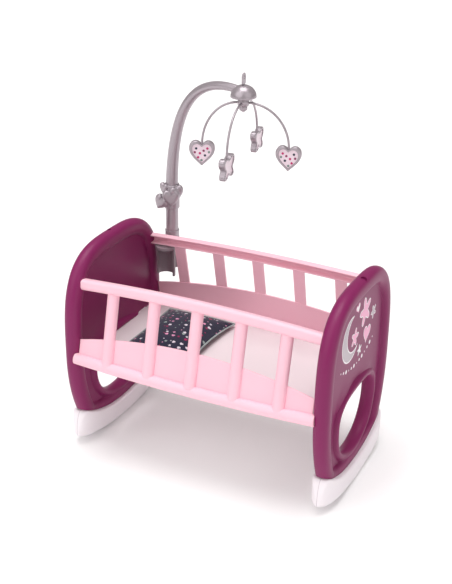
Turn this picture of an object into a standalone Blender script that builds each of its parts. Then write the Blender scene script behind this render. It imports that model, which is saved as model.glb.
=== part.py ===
"""Doll cradle with rocking feet, slatted sides, a pillow and a turning mobile.

Metres, +Z up. X runs from the head end (-X) to the foot end (+X), Y from the front side (-Y) to the
back side, where the mobile stands. The origin is the middle of the bounding box at the floor.
"""

import math

import bmesh
import bpy
from mathutils import Matrix, Vector

# Clearances
GAP = 0.0003  # between pieces that touch
RUNNING_GAP = 0.0005  # between pieces that turn on each other
OVERRUN = 0.004  # how far a cutter runs past the piece that it cuts
EMBED = 0.0015  # how far joined shapes run into each other
WELD = 0.00001  # merge distance for the ends of converted curves

# End panels, one moulding used twice
PANEL_SPACING = 0.4986  # between the middle planes of the two panels
PANEL_WIDTH = 0.3238
PANEL_HEIGHT = 0.3994  # top of the panel above the floor
PANEL_WIDEST = 0.2017  # height of the widest place
PANEL_TAPER_HEIGHT = 0.064  # where the straight taper ends
PANEL_TAPER = 0.0294  # how far each edge has come in there
PANEL_FOOT_HEIGHT = 0.045  # the rim's centre line at the bottom
RIM_HALF_WIDTH = 0.0165
RIM_HALF_DEPTH = 0.0149
WEB_HALF_DEPTH = 0.0098
HOLE_WIDTH = 0.174
HOLE_HEIGHT = 0.127
HOLE_MIDDLE = 0.143  # height of the hole's widest place
HOLE_LIP_WIDTH = 0.009
HOLE_LIP_RISE = 0.0025
DIMPLE_RADIUS = 0.0062
DIMPLE_DEPTH = 0.0040
DIMPLE_OFFSET = 0.0075  # sideways from the panel's middle
DIMPLE_OUT = 0.0055  # out from the panel's middle plane
DIMPLE_DROP = 0.0010  # of the rim's surface there, below the panel's top
DIMPLE_TILT = 22  # degrees, outwards
TOP_SIDE_POWER = 3.425  # roundness of the arched top, across
TOP_RISE_POWER = 3.42  # roundness of the arched top, up
TAPER_POWER = 2.32
HOLE_TOP_POWER = 3.0
HOLE_FOOT_POWER = 2.2
RIM_POWER = 2.22

# Rockers
ROCKER_RADIUS = 0.515  # of the rolling face
ROCKER_FLAT = 0.0160  # the short level stretch that it comes to rest on
ROCKER_HALF_DEPTH = 0.0240
ROCKER_LENGTH = 0.302
ROCKER_NOSE = 0.042  # length of each upswept end
ROCKER_NOSE_HEIGHT = 0.0250  # height of the tip of each end
ROCKER_TAPER = 0.060  # length over which each end grows thinner
ROCKER_HORN = 0.0155  # how far the upper end leans back from the tip
ROCKER_HORN_TOP = 0.0700  # height of the upper ends
ROCKER_ROUNDING = 0.0120
ROCKER_NOSE_POWER = 2.5
SEAT_RADIUS = 0.300  # of the hollow seat that carries the panel
SEAT_HEIGHT = 0.0400  # of the seat at its lowest

# Rocker screws
SCREW_SPREAD = 0.150  # between the two screws of a rocker
SCREW_HEAD_RADIUS = 0.0045
SCREW_HEAD_HEIGHT = 0.0030
SCREW_SHANK_RADIUS = 0.0020
SCREW_LENGTH = 0.0360
SCREW_WELL_RADIUS = 0.0060
SCREW_SEAT_HEIGHT = 0.0240  # of the head's bearing face above the floor

# Side rails, one moulding used twice, drawn in the leaning plane of its slats
SIDE_LEAN = 13.2  # degrees, top inwards
SIDE_REACH = 0.1545  # from the middle of the bed to the slats' backs, at the side's base line
SIDE_LIFT = 0.0130  # the side's base line above the top of the bed base
TOP_RAIL_LENGTH = 0.4680
TOP_RAIL_UP = 0.1264  # lower edge above the base line, at the ends
TOP_RAIL_HEIGHT = 0.0205
TOP_RAIL_DEPTH = 0.0150
TOP_RAIL_ROUNDING = 0.0070
TOP_RAIL_BOW = 0.0070
RAIL_WALL = 0.0028
BEAD_LENGTH = 0.4660
BEAD_DROP = 0.0065  # bead's centre line below the base line, at the ends
BEAD_RADIUS = 0.0110
BEAD_DEPTH = 0.0100
BEAD_BOW = 0.0060
SKIRT_LENGTH = 0.4620
SKIRT_THICKNESS = 0.0030
PEG_REACH = 0.0080  # of the tabs at the ends of the skirt and the rail, which plug into the panels
PEG_ROOT = 0.0020  # how far a tab starts inside its piece
SKIRT_PEG_THICKNESS = 0.0024
SKIRT_PEG_HEIGHT = 0.0200
SKIRT_PEG_UP = 0.0160  # middle of the tab above the base line
RAIL_PEG_THICKNESS = 0.0060
RAIL_PEG_HEIGHT = 0.0100
SKIRT_END_HEIGHT = 0.0310
SKIRT_ARCH = 0.0270
SLAT_COUNT = 5
SLAT_PITCH = 0.0856
SLAT_HALF_WIDTH = 0.0115
SLAT_DEPTH = 0.0100
LEDGE_LENGTH = 0.3600
LEDGE_THICKNESS = 0.0030
LEDGE_REACH = 0.0140

# Bed base
BASE_HEIGHT = 0.1900  # top face above the floor
BASE_THICKNESS = 0.0030
BASE_RIB_HEIGHT = 0.0080
BASE_RIB_COUNT = 4
BASE_RIB_LENGTH = 0.2500
BASE_TONGUE_HALF = 0.1050  # half width of the tongue at each end
BASE_SIDE_PLAY = 0.0014  # between the base's edges and the sides that lean over it

# Pillow
PILLOW_LENGTH = 0.1540
PILLOW_WIDTH = 0.2200
PILLOW_CROWN = 0.0360
PILLOW_EDGE = 0.0060
PILLOW_DRAW_IN = 0.0080
PILLOW_CENTRE = -0.1120
PILLOW_SPREAD_POWER = 2.8  # higher is fuller towards the corners
PILLOW_TOP_POWER = 0.62
PILLOW_FOOT_POWER = 0.35
PILLOW_TOP_SHARE = 0.72  # of the crown that lies above the seam

# Mobile post, bracket and collar, at the head end of the back side
POST_X = -0.2075
POST_Y = 0.1590
POST_RADIUS = 0.0127
POST_FOOT = 0.3000
POST_JOINT = 0.4200  # where the curved arm meets the post
SPIGOT_RADIUS = 0.0080
SPIGOT_LENGTH = 0.0220
SOCKET_WALL = 0.0016
SOCKET_FOOT = 0.2700
COLLAR_FOOT = 0.3370
COLLAR_TOP = 0.3495
SHELF_RADIUS = 0.0200
SHELF_CENTRE_Y = 0.1300
SHELF_THICKNESS = 0.0060
SHELF_TOP = 0.3250
CLIP_WALL = 0.0040
CLIP_FOOT = 0.2600

# Hearts round the post
CLUSTER_FOOT = 0.3970
CLUSTER_TOP = 0.4460
CLUSTER_WALL = 0.0020
CLUSTER_HEART_SIZE = 0.0340
CLUSTER_HEART_DEPTH = 0.0150

# Curved arm and dome
AXIS_X = -0.0360
AXIS_Y = 0.1220
ARM_TIP_HEIGHT = 0.6644
ARM_RISE = 0.1361  # how far the arm's line pulls straight up from the joint
ARM_REACH = 0.1354  # how far it pulls back from its tip
ARM_TIP_SLOPE = 7.4  # degrees, down towards the tip
ARM_TIP_RADIUS = 0.0074
DOME_RADIUS = 0.0243
DOME_FOOT = 0.6536
DOME_HEIGHT = 0.0224
DOME_WALL = 0.0022
DOME_ENTRY = 0.0130  # how far the arm runs into the dome
AXLE_BOSS_RADIUS = 0.0070
RING_HEIGHT = 0.0215
RING_WIDTH = 0.0140
RING_THICKNESS = 0.0034
RING_HOLE_RADIUS = 0.0036
RING_TOP_POWER = 2.6
RING_FOOT_POWER = 6

# Rotor: hub, nose, rods and pendants
AXLE_RADIUS = 0.0030
AXLE_LENGTH = 0.0120
HUB_RADIUS = 0.0105
HUB_TOP = 0.6520
HUB_FOOT = 0.6375
NOSE_RADIUS = 0.0076
NOSE_TIP = 0.6242
NOSE_EDGE = 0.6300
NOSE_PIN_LENGTH = 0.0050
ROD_RADIUS = 0.0022
ROD_ROOT_DEPTH = 0.0044  # how far a rod is let into the hub
ROD_PIN_RADIUS = 0.0014
ROD_PIN_LENGTH = 0.0060  # of the pin in a pendant
ROD_ROOT_HEIGHT = 0.6430
ROD_REACH = 0.0840
ROD_DROP = 0.0816  # of a rod's tip below its root
HEART_WIDTH = 0.0485
HEART_HEIGHT = 0.0470
WING_WIDTH = 0.0565
WING_HEIGHT = 0.0413
PENDANT_DEPTH = 0.0120
PENDANT_ROUNDING = 0.0030
FACE_INSET = 0.0045
FACE_RECESS = 0.0030
FACE_THICKNESS = 0.0020

# Shapes without a size: a heart's waves, a butterfly's waves, and where the hearts sit on the post
HEART_WAVE_SHARES = (0.81, -0.22, -0.11, -0.03)
HEART_TIP_SHARE = 0.19
HEART_PUFF_SHARE = 0.34  # rounding of the post's hearts, of their depth
WING_WAVE_SHARES = (0.66, 0.20, 0.12)
ROD_SHARES = (
    # pendant, turn of its rod in degrees from +X, reach of its rod
    ("heart_foot", 12.3, 1.04),
    ("butterfly_back", 98.3, 1.11),
    ("heart_head", 201.2, 0.90),
    ("butterfly_front", 276.2, 1.02),
)
ROCKER_NOSE_TURNS = (15, 30, 45, 58, 70, 80, 87)  # degrees round the nose, from its root to its tip
ROCKER_ROUND_SHARE = 0.95  # roundest that a thin section becomes
CLUSTER_HEART_SHARES = (
    # facing in degrees, shift aside in sizes, height in the cluster, size, tilt in degrees
    (-99, -0.46, 0.22, 0.86, -26),
    (-66, 0.00, 0.50, 1.00, 4),
    (-34, 0.08, 0.70, 0.84, 8),
    (-108, -0.20, 0.86, 0.58, -10),
)
PILLOW_STEPS = 10

PLUM = (0.283, 0.028, 0.133)
PINK = (0.965, 0.680, 0.752)
WHITE = (0.800, 0.760, 0.780)
SILVER = (0.330, 0.290, 0.300)
NAVY = (0.018, 0.020, 0.045)
FACE_PINK = (0.860, 0.640, 0.760)
STEEL = (0.500, 0.500, 0.500)


def new_collection(name):
    """Add a collection to the scene."""
    made = bpy.data.collections.new(name)
    bpy.context.scene.collection.children.link(made)
    return made


def new_material(name, colour, roughness, metallic=0.0):
    """Return a Principled material of one colour."""
    made = bpy.data.materials.new(name)
    made.use_nodes = True
    shader = made.node_tree.nodes["Principled BSDF"]
    shader.inputs["Base Color"].default_value = (*colour, 1.0)
    shader.inputs["Roughness"].default_value = roughness
    shader.inputs["Metallic"].default_value = metallic
    return made


def new_empty(name, location=(0, 0, 0), rotation=(0, 0, 0), parent=None):
    """Add an empty that other objects are placed by."""
    made = bpy.data.objects.new(name, None)
    made.location = location
    made.rotation_euler = rotation
    made.parent = parent
    PARTS.objects.link(made)
    return made


def superellipse(half_width, height, power_across, power_up, steps):
    """Quarter of a superellipse, from the middle of its top to the end of its side."""
    points = []
    for step in range(steps + 1):
        turn = math.pi / 2 * step / steps
        across = half_width * math.sin(turn) ** (2 / power_across)
        up = height * max(math.cos(turn), 0) ** (2 / power_up)
        points.append((across, up))
    return points


def bezier(start, first, second, end, steps):
    """Points along a cubic Bezier curve."""
    points = []
    for step in range(steps + 1):
        t = step / steps
        weights = ((1 - t) ** 3, 3 * t * (1 - t) ** 2, 3 * t * t * (1 - t), t ** 3)
        point = Vector((0, 0))
        for weight, corner in zip(weights, (start, first, second, end)):
            point += weight * Vector(corner)
        points.append(tuple(point))
    return points


def evenly(points, count):
    """Pick points at equal steps along a finely drawn line."""
    points = [Vector(point) for point in points]
    travelled = [0.0]
    for before, after in zip(points, points[1:]):
        travelled.append(travelled[-1] + (after - before).length)
    picked = []
    place = 0
    for index in range(count + 1):
        wanted = travelled[-1] * index / count
        while place < len(points) - 2 and travelled[place + 1] < wanted:
            place += 1
        span = travelled[place + 1] - travelled[place]
        share = (wanted - travelled[place]) / span if span else 0
        picked.append(tuple(points[place].lerp(points[place + 1], share)))
    return picked


def mirrored(half):
    """Close a half outline, from middle to middle, by its mirror image."""
    left = [(-point[0], point[1]) for point in half[-2:0:-1]]
    return list(half) + left


def curve_object(name, points, closed, flat, radii=None):
    """Add a curve object through the given points, not yet thick."""
    data = bpy.data.curves.new(name, "CURVE")
    data.dimensions = "2D" if flat else "3D"
    data.fill_mode = "NONE" if flat else "FULL"
    if not flat:
        data.twist_mode = "Z_UP"
    spline = data.splines.new("POLY")
    spline.points.add(len(points) - 1)
    for index, point in enumerate(points):
        spline.points[index].co = (*Vector(point).to_3d(), 1)
        spline.points[index].radius = radii[index] if radii else 1
    spline.use_cyclic_u = closed
    made = bpy.data.objects.new(name, data)
    GUIDES.objects.link(made)
    return made


def meshed(curve, collection):
    """Turn a curve object into a mesh object of the same name and place."""
    bpy.context.view_layer.update()
    evaluated = curve.evaluated_get(bpy.context.evaluated_depsgraph_get())
    mesh = bpy.data.meshes.new_from_object(evaluated)
    shape = bmesh.new()
    shape.from_mesh(mesh)
    bmesh.ops.remove_doubles(shape, verts=shape.verts, dist=WELD)
    bmesh.ops.recalc_face_normals(shape, faces=shape.faces)
    shape.to_mesh(mesh)
    shape.free()
    name, place = curve.name, curve.matrix_world.copy()
    data = curve.data
    bpy.data.objects.remove(curve, do_unlink=True)
    bpy.data.curves.remove(data)
    made = bpy.data.objects.new(name, mesh)
    made.matrix_world = place
    collection.objects.link(made)
    return made


def dress(target, material, parent=None, smooth=35):
    """Give a finished piece its material, its parent and smooth shading."""
    target.data.materials.clear()
    target.data.materials.append(material)
    target.parent = parent
    target.data.shade_smooth()
    target.data.set_sharp_from_angle(angle=math.radians(smooth))
    return target


def hidden(target, parent=None):
    """Mark an object as a cutter or guide."""
    target.hide_render = True
    target.display_type = "WIRE"
    target.parent = parent
    return target


def flat_solid(name, outline, half_depth, rounding=0.0, collection=None, inset=0.0, resolution=1):
    """A flat outline in its own XY plane, made thick along Z, with rounded edges."""
    curve = curve_object(name, outline, True, True)
    curve.data.fill_mode = "BOTH"
    curve.data.extrude = half_depth - rounding
    curve.data.bevel_depth = rounding
    curve.data.bevel_resolution = resolution
    curve.data.offset = -rounding - inset
    return meshed(curve, collection or GUIDES)


def swept(name, path, section, closed=False, flat=False, collection=None):
    """Sweep a closed section along a path."""
    guide = hidden(curve_object(name + "_section", section, True, True))
    curve = curve_object(name, path, closed, flat)
    curve.data.bevel_mode = "OBJECT"
    curve.data.bevel_object = guide
    curve.data.use_fill_caps = True
    made = meshed(curve, collection or GUIDES)
    bpy.data.objects.remove(guide, do_unlink=True)
    return made


def tube(name, path, radius, resolution=2, radii=None, collection=None):
    """A round tube along a path, with radii as shares of the radius."""
    curve = curve_object(name, path, False, False, radii)
    curve.data.twist_mode = "MINIMUM"
    curve.data.bevel_depth = radius
    curve.data.bevel_resolution = resolution
    curve.data.use_fill_caps = True
    return meshed(curve, collection or GUIDES)


def primitive(name, build, collection=None):
    """A mesh object from one bmesh operator."""
    shape = bmesh.new()
    build(shape)
    mesh = bpy.data.meshes.new(name)
    shape.to_mesh(mesh)
    shape.free()
    made = bpy.data.objects.new(name, mesh)
    (collection or GUIDES).objects.link(made)
    return made


def box(name, size, location=(0, 0, 0), collection=None):
    """A box of the given size, centred on its location."""
    def build(shape):
        bmesh.ops.create_cube(shape, size=1)
        bmesh.ops.scale(shape, vec=size, verts=shape.verts)
    made = primitive(name, build, collection)
    made.location = location
    return made


def cylinder(name, radius, low, high, place=(0, 0), sides=24, collection=None):
    """An upright cylinder or cone between two heights."""
    def build(shape):
        bmesh.ops.create_cone(shape, cap_ends=True, segments=sides, radius1=radius,
                              radius2=radius, depth=high - low)
    made = primitive(name, build, collection)
    made.location = (*place, (low + high) / 2)
    return made


def turned(name, profile, steps=32, collection=None):
    """A turned piece: a half profile in XZ, listed down its outer side, spun round Z."""
    shape = bmesh.new()
    corners = [shape.verts.new((radius, 0, height)) for radius, height in profile]
    for before, after in zip(corners, corners[1:]):
        shape.edges.new((before, after))
    mesh = bpy.data.meshes.new(name)
    shape.to_mesh(mesh)
    shape.free()
    made = bpy.data.objects.new(name, mesh)
    (collection or GUIDES).objects.link(made)
    screw = made.modifiers.new("Turn", "SCREW")
    screw.steps = steps
    screw.render_steps = steps
    screw.use_merge_vertices = True
    screw.merge_threshold = WELD
    return made


def combine(target, other, operation="DIFFERENCE", parent=None):
    """Cut, join or intersect a piece with another shape."""
    modifier = target.modifiers.new(other.name, "BOOLEAN")
    modifier.object = hidden(other, parent)
    modifier.operation = operation
    modifier.solver = "EXACT"
    return target


def baked(target):
    """Apply the modifiers of a shape that later cuts would otherwise evaluate again."""
    bpy.context.view_layer.update()
    mesh = bpy.data.meshes.new_from_object(target.evaluated_get(bpy.context.evaluated_depsgraph_get()))
    target.modifiers.clear()
    target.data = mesh
    return target


def panel_line(steps=46):
    """Centre line of a panel's rim: an arched top, tapering sides and a low, nearly flat foot."""
    half_width = PANEL_WIDTH / 2 - RIM_HALF_WIDTH
    rise = PANEL_HEIGHT - RIM_HALF_WIDTH - PANEL_WIDEST
    top = superellipse(half_width, rise, TOP_SIDE_POWER, TOP_RISE_POWER, steps)
    half = [(across, PANEL_WIDEST + up) for across, up in top]
    fall = PANEL_WIDEST - PANEL_TAPER_HEIGHT
    for step in range(1, steps + 1):
        share = step / steps
        half.append((half_width - PANEL_TAPER * share ** TAPER_POWER, PANEL_WIDEST - fall * share))
    slope = Vector((-PANEL_TAPER * TAPER_POWER, -fall)).normalized()
    start = Vector(half[-1])
    corner = start + slope * RIM_HALF_WIDTH
    foot_end = (0, PANEL_FOOT_HEIGHT)
    half += bezier(start, corner, (half_width / 2, PANEL_FOOT_HEIGHT), foot_end, steps)[1:]
    return mirrored(evenly(half, steps // 2))


def hole_line(steps=7):
    """Outline of the rounded D-shaped opening in a panel."""
    top = superellipse(HOLE_WIDTH / 2, hole_top() - HOLE_MIDDLE, HOLE_TOP_POWER, HOLE_TOP_POWER, steps)
    foot = superellipse(HOLE_WIDTH / 2, HOLE_MIDDLE - hole_foot(), HOLE_FOOT_POWER, HOLE_FOOT_POWER, steps)
    half = [(across, HOLE_MIDDLE + up) for across, up in top]
    half += [(across, HOLE_MIDDLE - up) for across, up in reversed(foot[:-1])]
    return mirrored(half)


def hole_top():
    """The opening's upper edge lies just above the bed base."""
    return BASE_HEIGHT + BASE_THICKNESS


def hole_foot():
    """Height of the opening's lower edge."""
    return hole_top() - HOLE_HEIGHT


def seat_cylinder(name, radius):
    """The round seat between a rocker and its panel, as a lying cylinder."""
    def build(shape):
        bmesh.ops.create_cone(shape, cap_ends=True, segments=120, radius1=radius, radius2=radius,
                              depth=PANEL_SPACING / 2)
    made = primitive(name, build)
    made.rotation_euler = (0, math.radians(90), 0)
    made.location = (0, 0, SEAT_HEIGHT + SEAT_RADIUS)
    return made


def stands_across(target):
    """Turn a flat shape drawn in XY so that it stands across the cradle, in YZ."""
    target.rotation_euler = (math.radians(90), 0, math.radians(90))
    return target


def side_pegs():
    """The tabs of a side: label, the end that they spring from, place, thickness and height."""
    rail_middle = (SKIRT_THICKNESS - TOP_RAIL_DEPTH / 2, TOP_RAIL_UP + TOP_RAIL_HEIGHT / 2)
    skirt_middle = (SKIRT_THICKNESS / 2, SKIRT_PEG_UP)
    return (("skirt", SKIRT_LENGTH / 2, skirt_middle, SKIRT_PEG_THICKNESS, SKIRT_PEG_HEIGHT),
            ("rail", TOP_RAIL_LENGTH / 2, rail_middle, RAIL_PEG_THICKNESS, RAIL_PEG_HEIGHT))


def side_pockets(name, sign):
    """The two blind pockets that a side's tabs take in a panel, drawn in the side's leaning plane."""
    near = PANEL_SPACING / 2 - RIM_HALF_DEPTH - OVERRUN
    pockets = []
    for label, end, middle, thickness, height in side_pegs():
        far = end + PEG_REACH + GAP
        size = (far - near, thickness + 2 * GAP, height + 2 * GAP)
        pockets.append(box(f"{name}_{label}", size, (sign * (far + near) / 2, *middle)))
    return pockets


def make_panel(name, end, material):
    """One end panel: rounded rim, recessed web, D-shaped opening and rail pockets."""
    section = superellipse(RIM_HALF_WIDTH, RIM_HALF_DEPTH, RIM_POWER, RIM_POWER, 3)
    right = section + [(across, -up) for across, up in reversed(section[:-1])]
    panel = swept(name, panel_line(), mirrored(right), closed=True, flat=True, collection=PARTS)
    stands_across(panel)
    place = new_empty(name + "_place", (end * PANEL_SPACING / 2, 0, 0), (0, 0, 0 if end > 0 else math.pi),
                      CRADLE)
    web = stands_across(flat_solid(name + "_web", panel_line(), WEB_HALF_DEPTH))
    combine(panel, web, "UNION", place)
    lip = flat_solid(name + "_lip", hole_line(), WEB_HALF_DEPTH + HOLE_LIP_RISE, HOLE_LIP_RISE,
                     inset=-HOLE_LIP_WIDTH)
    combine(panel, stands_across(lip), "UNION", place)
    hole = flat_solid(name + "_hole", hole_line(), RIM_HALF_DEPTH)
    combine(panel, stands_across(hole), "DIFFERENCE", place)
    combine(panel, seat_cylinder(name + "_seat", SEAT_RADIUS), "INTERSECT", place)
    dimple = cylinder(name + "_dimple", DIMPLE_RADIUS, 0, DIMPLE_DEPTH + OVERRUN, sides=20)
    tilt = math.radians(DIMPLE_TILT)
    rise = (OVERRUN - DIMPLE_DEPTH) / 2
    dimple.rotation_euler = (0, tilt, 0)
    dimple.location = (DIMPLE_OUT + rise * math.sin(tilt), DIMPLE_OFFSET,
                       PANEL_HEIGHT - DIMPLE_DROP + rise * math.cos(tilt))
    combine(panel, dimple, "DIFFERENCE", place)
    for side in (-1, 1):
        screw_hole = cylinder(f"{name}_pilot_{side}", SCREW_SHANK_RADIUS + GAP, SEAT_HEIGHT - OVERRUN,
                              screw_top() + GAP, (0, side * SCREW_SPREAD / 2), sides=12)
        combine(panel, screw_hole, "DIFFERENCE", place)
    panel.parent = place
    for label, side in SIDES.items():
        sign = end if label == "front" else -end
        for pocket in side_pockets(f"{name}_{label}", sign):
            combine(panel, pocket, "DIFFERENCE", side)
    return dress(panel, material, place)


def screw_top():
    """Height of the tip of a rocker screw."""
    return SCREW_SEAT_HEIGHT + SCREW_LENGTH


def rocker_stations(steps=5):
    """Places along half a rocker where its section is drawn: close together at the end."""
    arc_end = ROCKER_LENGTH / 2 - ROCKER_NOSE
    arc = arc_end - ROCKER_FLAT / 2
    stations = [ROCKER_FLAT / 2 + arc * step / steps for step in range(steps + 1)]
    return stations + [arc_end + ROCKER_NOSE * math.sin(math.radians(turn)) for turn in ROCKER_NOSE_TURNS]


def rocker_section(along, steps=3):
    """Section of a rocker at a place along it: a rounded box that shrinks towards the end."""
    level = math.sqrt(ROCKER_RADIUS ** 2 - (ROCKER_FLAT / 2) ** 2)
    arc_end = ROCKER_LENGTH / 2 - ROCKER_NOSE
    place = abs(along)
    low = level - math.sqrt(ROCKER_RADIUS ** 2 - min(place, arc_end) ** 2)
    if place > arc_end:
        share = 1 - ((place - arc_end) / ROCKER_NOSE) ** ROCKER_NOSE_POWER
        low = ROCKER_NOSE_HEIGHT - (ROCKER_NOSE_HEIGHT - low) * share ** (1 / ROCKER_NOSE_POWER)
    rise = ROCKER_HORN_TOP - ROCKER_NOSE_HEIGHT
    high = ROCKER_NOSE_HEIGHT + rise * end_share(place, ROCKER_HORN)
    depth = ROCKER_HALF_DEPTH * end_share(place, ROCKER_TAPER)
    radius = min(ROCKER_ROUNDING, depth * ROCKER_ROUND_SHARE, (high - low) / 2 * ROCKER_ROUND_SHARE)
    ring = []
    for quarter, (across, up) in enumerate(((1, 1), (-1, 1), (-1, -1), (1, -1))):
        for step in range(steps + 1):
            turn = math.pi / 2 * (quarter + step / steps)
            ring.append((across * (depth - radius) + radius * math.cos(turn), along,
                         (high - radius if up > 0 else low + radius) + radius * math.sin(turn)))
    return ring


def end_share(place, length):
    """How much of a rocker's thickness is left where its end rounds off."""
    into = max(place - (ROCKER_LENGTH / 2 - length), 0) / length
    return math.sqrt(1 - into ** 2)


def lofted(name, rings, collection=None):
    """A closed skin over rings of equally many points, with a flat cap at each end."""
    shape = bmesh.new()
    loops = [[shape.verts.new(point) for point in ring] for ring in rings]
    for before, after in zip(loops, loops[1:]):
        for index in range(len(before)):
            following = (index + 1) % len(before)
            shape.faces.new((before[index], before[following], after[following], after[index]))
    shape.faces.new(loops[0])
    shape.faces.new(loops[-1])
    bmesh.ops.recalc_face_normals(shape, faces=shape.faces)
    mesh = bpy.data.meshes.new(name)
    shape.to_mesh(mesh)
    shape.free()
    made = bpy.data.objects.new(name, mesh)
    (collection or GUIDES).objects.link(made)
    return made


def make_rocker(name, end, material):
    """One rocker: a hollow-looking moulding under a panel, rolling on its curved lower face."""
    place = new_empty(name + "_place", (end * PANEL_SPACING / 2, 0, 0), parent=CRADLE)
    half = rocker_stations()
    stations = [-along for along in reversed(half)] + half
    rocker = lofted(name, [rocker_section(along) for along in stations], PARTS)
    combine(rocker, seat_cylinder(name + "_seat", SEAT_RADIUS + GAP), "DIFFERENCE", place)
    for side in (-1, 1):
        spot = (0, side * SCREW_SPREAD / 2)
        well = cylinder(f"{name}_well_{side}", SCREW_WELL_RADIUS, -OVERRUN, SCREW_SEAT_HEIGHT, spot, 20)
        combine(rocker, well, "DIFFERENCE", place)
        bore = cylinder(f"{name}_bore_{side}", SCREW_SHANK_RADIUS + GAP, SCREW_SEAT_HEIGHT - OVERRUN,
                        PANEL_WIDEST, spot, 12)
        combine(rocker, bore, "DIFFERENCE", place)
        make_screw(f"{name}_screw_{'front' if side < 0 else 'back'}", place, spot)
    return dress(rocker, material, place)


def make_screw(name, place, spot):
    """A pan-head screw driven up through a rocker into the panel."""
    top = screw_top()
    head_top = SCREW_SEAT_HEIGHT - GAP
    profile = [(0, top), (SCREW_SHANK_RADIUS, top - SCREW_SHANK_RADIUS), (SCREW_SHANK_RADIUS, head_top),
               (SCREW_HEAD_RADIUS, head_top), (SCREW_HEAD_RADIUS, head_top - SCREW_HEAD_HEIGHT / 2),
               (SCREW_HEAD_RADIUS - SCREW_HEAD_HEIGHT / 2, head_top - SCREW_HEAD_HEIGHT),
               (0, head_top - SCREW_HEAD_HEIGHT)]
    screw = turned(name, profile, 12, PARTS)
    screw.location = (*spot, 0)
    return dress(screw, STEEL_METAL, place)


def bow_at(along, length, bow):
    """Lift of a bowed bar at a place along its side."""
    return bow * (1 - (2 * along / length) ** 2)


def rail_low(along):
    """Lower edge of the top rail."""
    return TOP_RAIL_UP + bow_at(along, TOP_RAIL_LENGTH, TOP_RAIL_BOW)


def bead_middle(along):
    """Centre line of the bead."""
    return -BEAD_DROP - bow_at(along, BEAD_LENGTH, BEAD_BOW)


def skirt_top(along):
    """Upper edge of the skirt."""
    return SKIRT_END_HEIGHT + bow_at(along, SKIRT_LENGTH, SKIRT_ARCH)


def bowed_bar(name, length, middle, section, steps=8):
    """A bar along a side, with square ends, whose centre line follows the given heights."""
    bar = swept(name, [(length * (step / steps - 1 / 2), 0, 0) for step in range(steps + 1)], section)
    for vertex in bar.data.vertices:
        vertex.co.z += middle(vertex.co.x)
    return bar


def rail_section(depth, height, rounding, back, steps=3):
    """Section of the top rail: flat behind, rounded in front."""
    turns = [math.pi / 2 * step / steps for step in range(steps + 1)]
    corner = [(rounding * math.sin(turn), rounding * math.cos(turn)) for turn in turns]
    front = depth - rounding
    upper = [(front + across - back, height - rounding + up) for across, up in corner]
    lower = [(front + across - back, rounding - up) for across, up in reversed(corner)]
    return [(-back, 0), (-back, height)] + upper + lower


def half_round(half_width, depth, back, steps=7):
    """Section of a slat or bead: half an ellipse on a flat back."""
    points = []
    for step in range(steps + 1):
        turn = math.pi * (step + 1 / 2) / (steps + 1)
        points.append((half_width * math.cos(turn), depth * math.sin(turn)))
    return points + [(-half_width, -back), (half_width, -back)]


def make_side(name, place, material):
    """One side: an arched skirt, a bead, half-round slats, a channelled top rail and a ledge."""
    side = flat_solid(name, skirt_line(), SKIRT_THICKNESS / 2, collection=PARTS)
    side.data.transform(Matrix.Rotation(math.radians(90), 4, "X"))
    side.data.transform(Matrix.Translation((0, SKIRT_THICKNESS / 2, 0)))
    back = SKIRT_THICKNESS - EMBED
    bead_section = [(depth, across) for across, depth in half_round(BEAD_RADIUS, BEAD_DEPTH, back)]
    combine(side, bowed_bar(name + "_bead", BEAD_LENGTH, bead_middle, bead_section), "UNION", place)
    for index in range(SLAT_COUNT):
        along = (index - (SLAT_COUNT - 1) / 2) * SLAT_PITCH
        top = rail_low(along) + RAIL_WALL / 2
        slat = swept(f"{name}_slat_{index + 1}", [(along, 0, -BEAD_DROP), (along, 0, top)],
                     half_round(SLAT_HALF_WIDTH, SLAT_DEPTH, back))
        combine(side, slat, "UNION", place)
    combine(side, top_rail(name + "_rail"), "UNION", place)
    combine(side, side_ledge(name + "_ledge"), "UNION", place)
    for label, end, middle, thickness, height in side_pegs():
        for sign in (-1, 1):
            spot = (sign * (end + (PEG_REACH - PEG_ROOT) / 2), *middle)
            tab = box(f"{name}_{label}_tab_{sign}", (PEG_REACH + PEG_ROOT, thickness, height), spot)
            combine(side, tab, "UNION", place)
    return dress(side, material, place)


def side_base():
    """Height of the sides' base line above the floor."""
    return BASE_HEIGHT + SIDE_LIFT


def inner_face(height):
    """Half width of the bed between the sides' inner faces at a height above the floor."""
    lean = math.radians(SIDE_LEAN)
    return SIDE_REACH - SKIRT_THICKNESS / math.cos(lean) - (height - side_base()) * math.tan(lean)


def side_ledge(name):
    """The level ledge inside the bead that carries the bed base."""
    lean = math.radians(SIDE_LEAN)
    middle = BASE_HEIGHT - BASE_THICKNESS - GAP - LEDGE_THICKNESS / 2
    inwards = SIDE_REACH - inner_face(middle) + (LEDGE_REACH - SKIRT_THICKNESS) / 2
    drop = middle - side_base()
    ledge = box(name, (LEDGE_LENGTH, LEDGE_REACH + SKIRT_THICKNESS, LEDGE_THICKNESS),
                (0, inwards * math.cos(lean) - drop * math.sin(lean),
                 inwards * math.sin(lean) + drop * math.cos(lean)))
    ledge.rotation_euler = (lean, 0, 0)
    return ledge


def skirt_line(steps=8):
    """Outline of the skirt: an arched top edge over a bowed foot inside the bead."""
    half = []
    for step in range(steps + 1):
        share = step / steps
        half.append((SKIRT_LENGTH / 2 * share, skirt_top(SKIRT_LENGTH / 2 * share)))
    foot = BEAD_DROP + BEAD_RADIUS / 2
    half += [(SKIRT_LENGTH / 2, -foot), (0, -foot - BEAD_BOW)]
    return mirrored(half)


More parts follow.
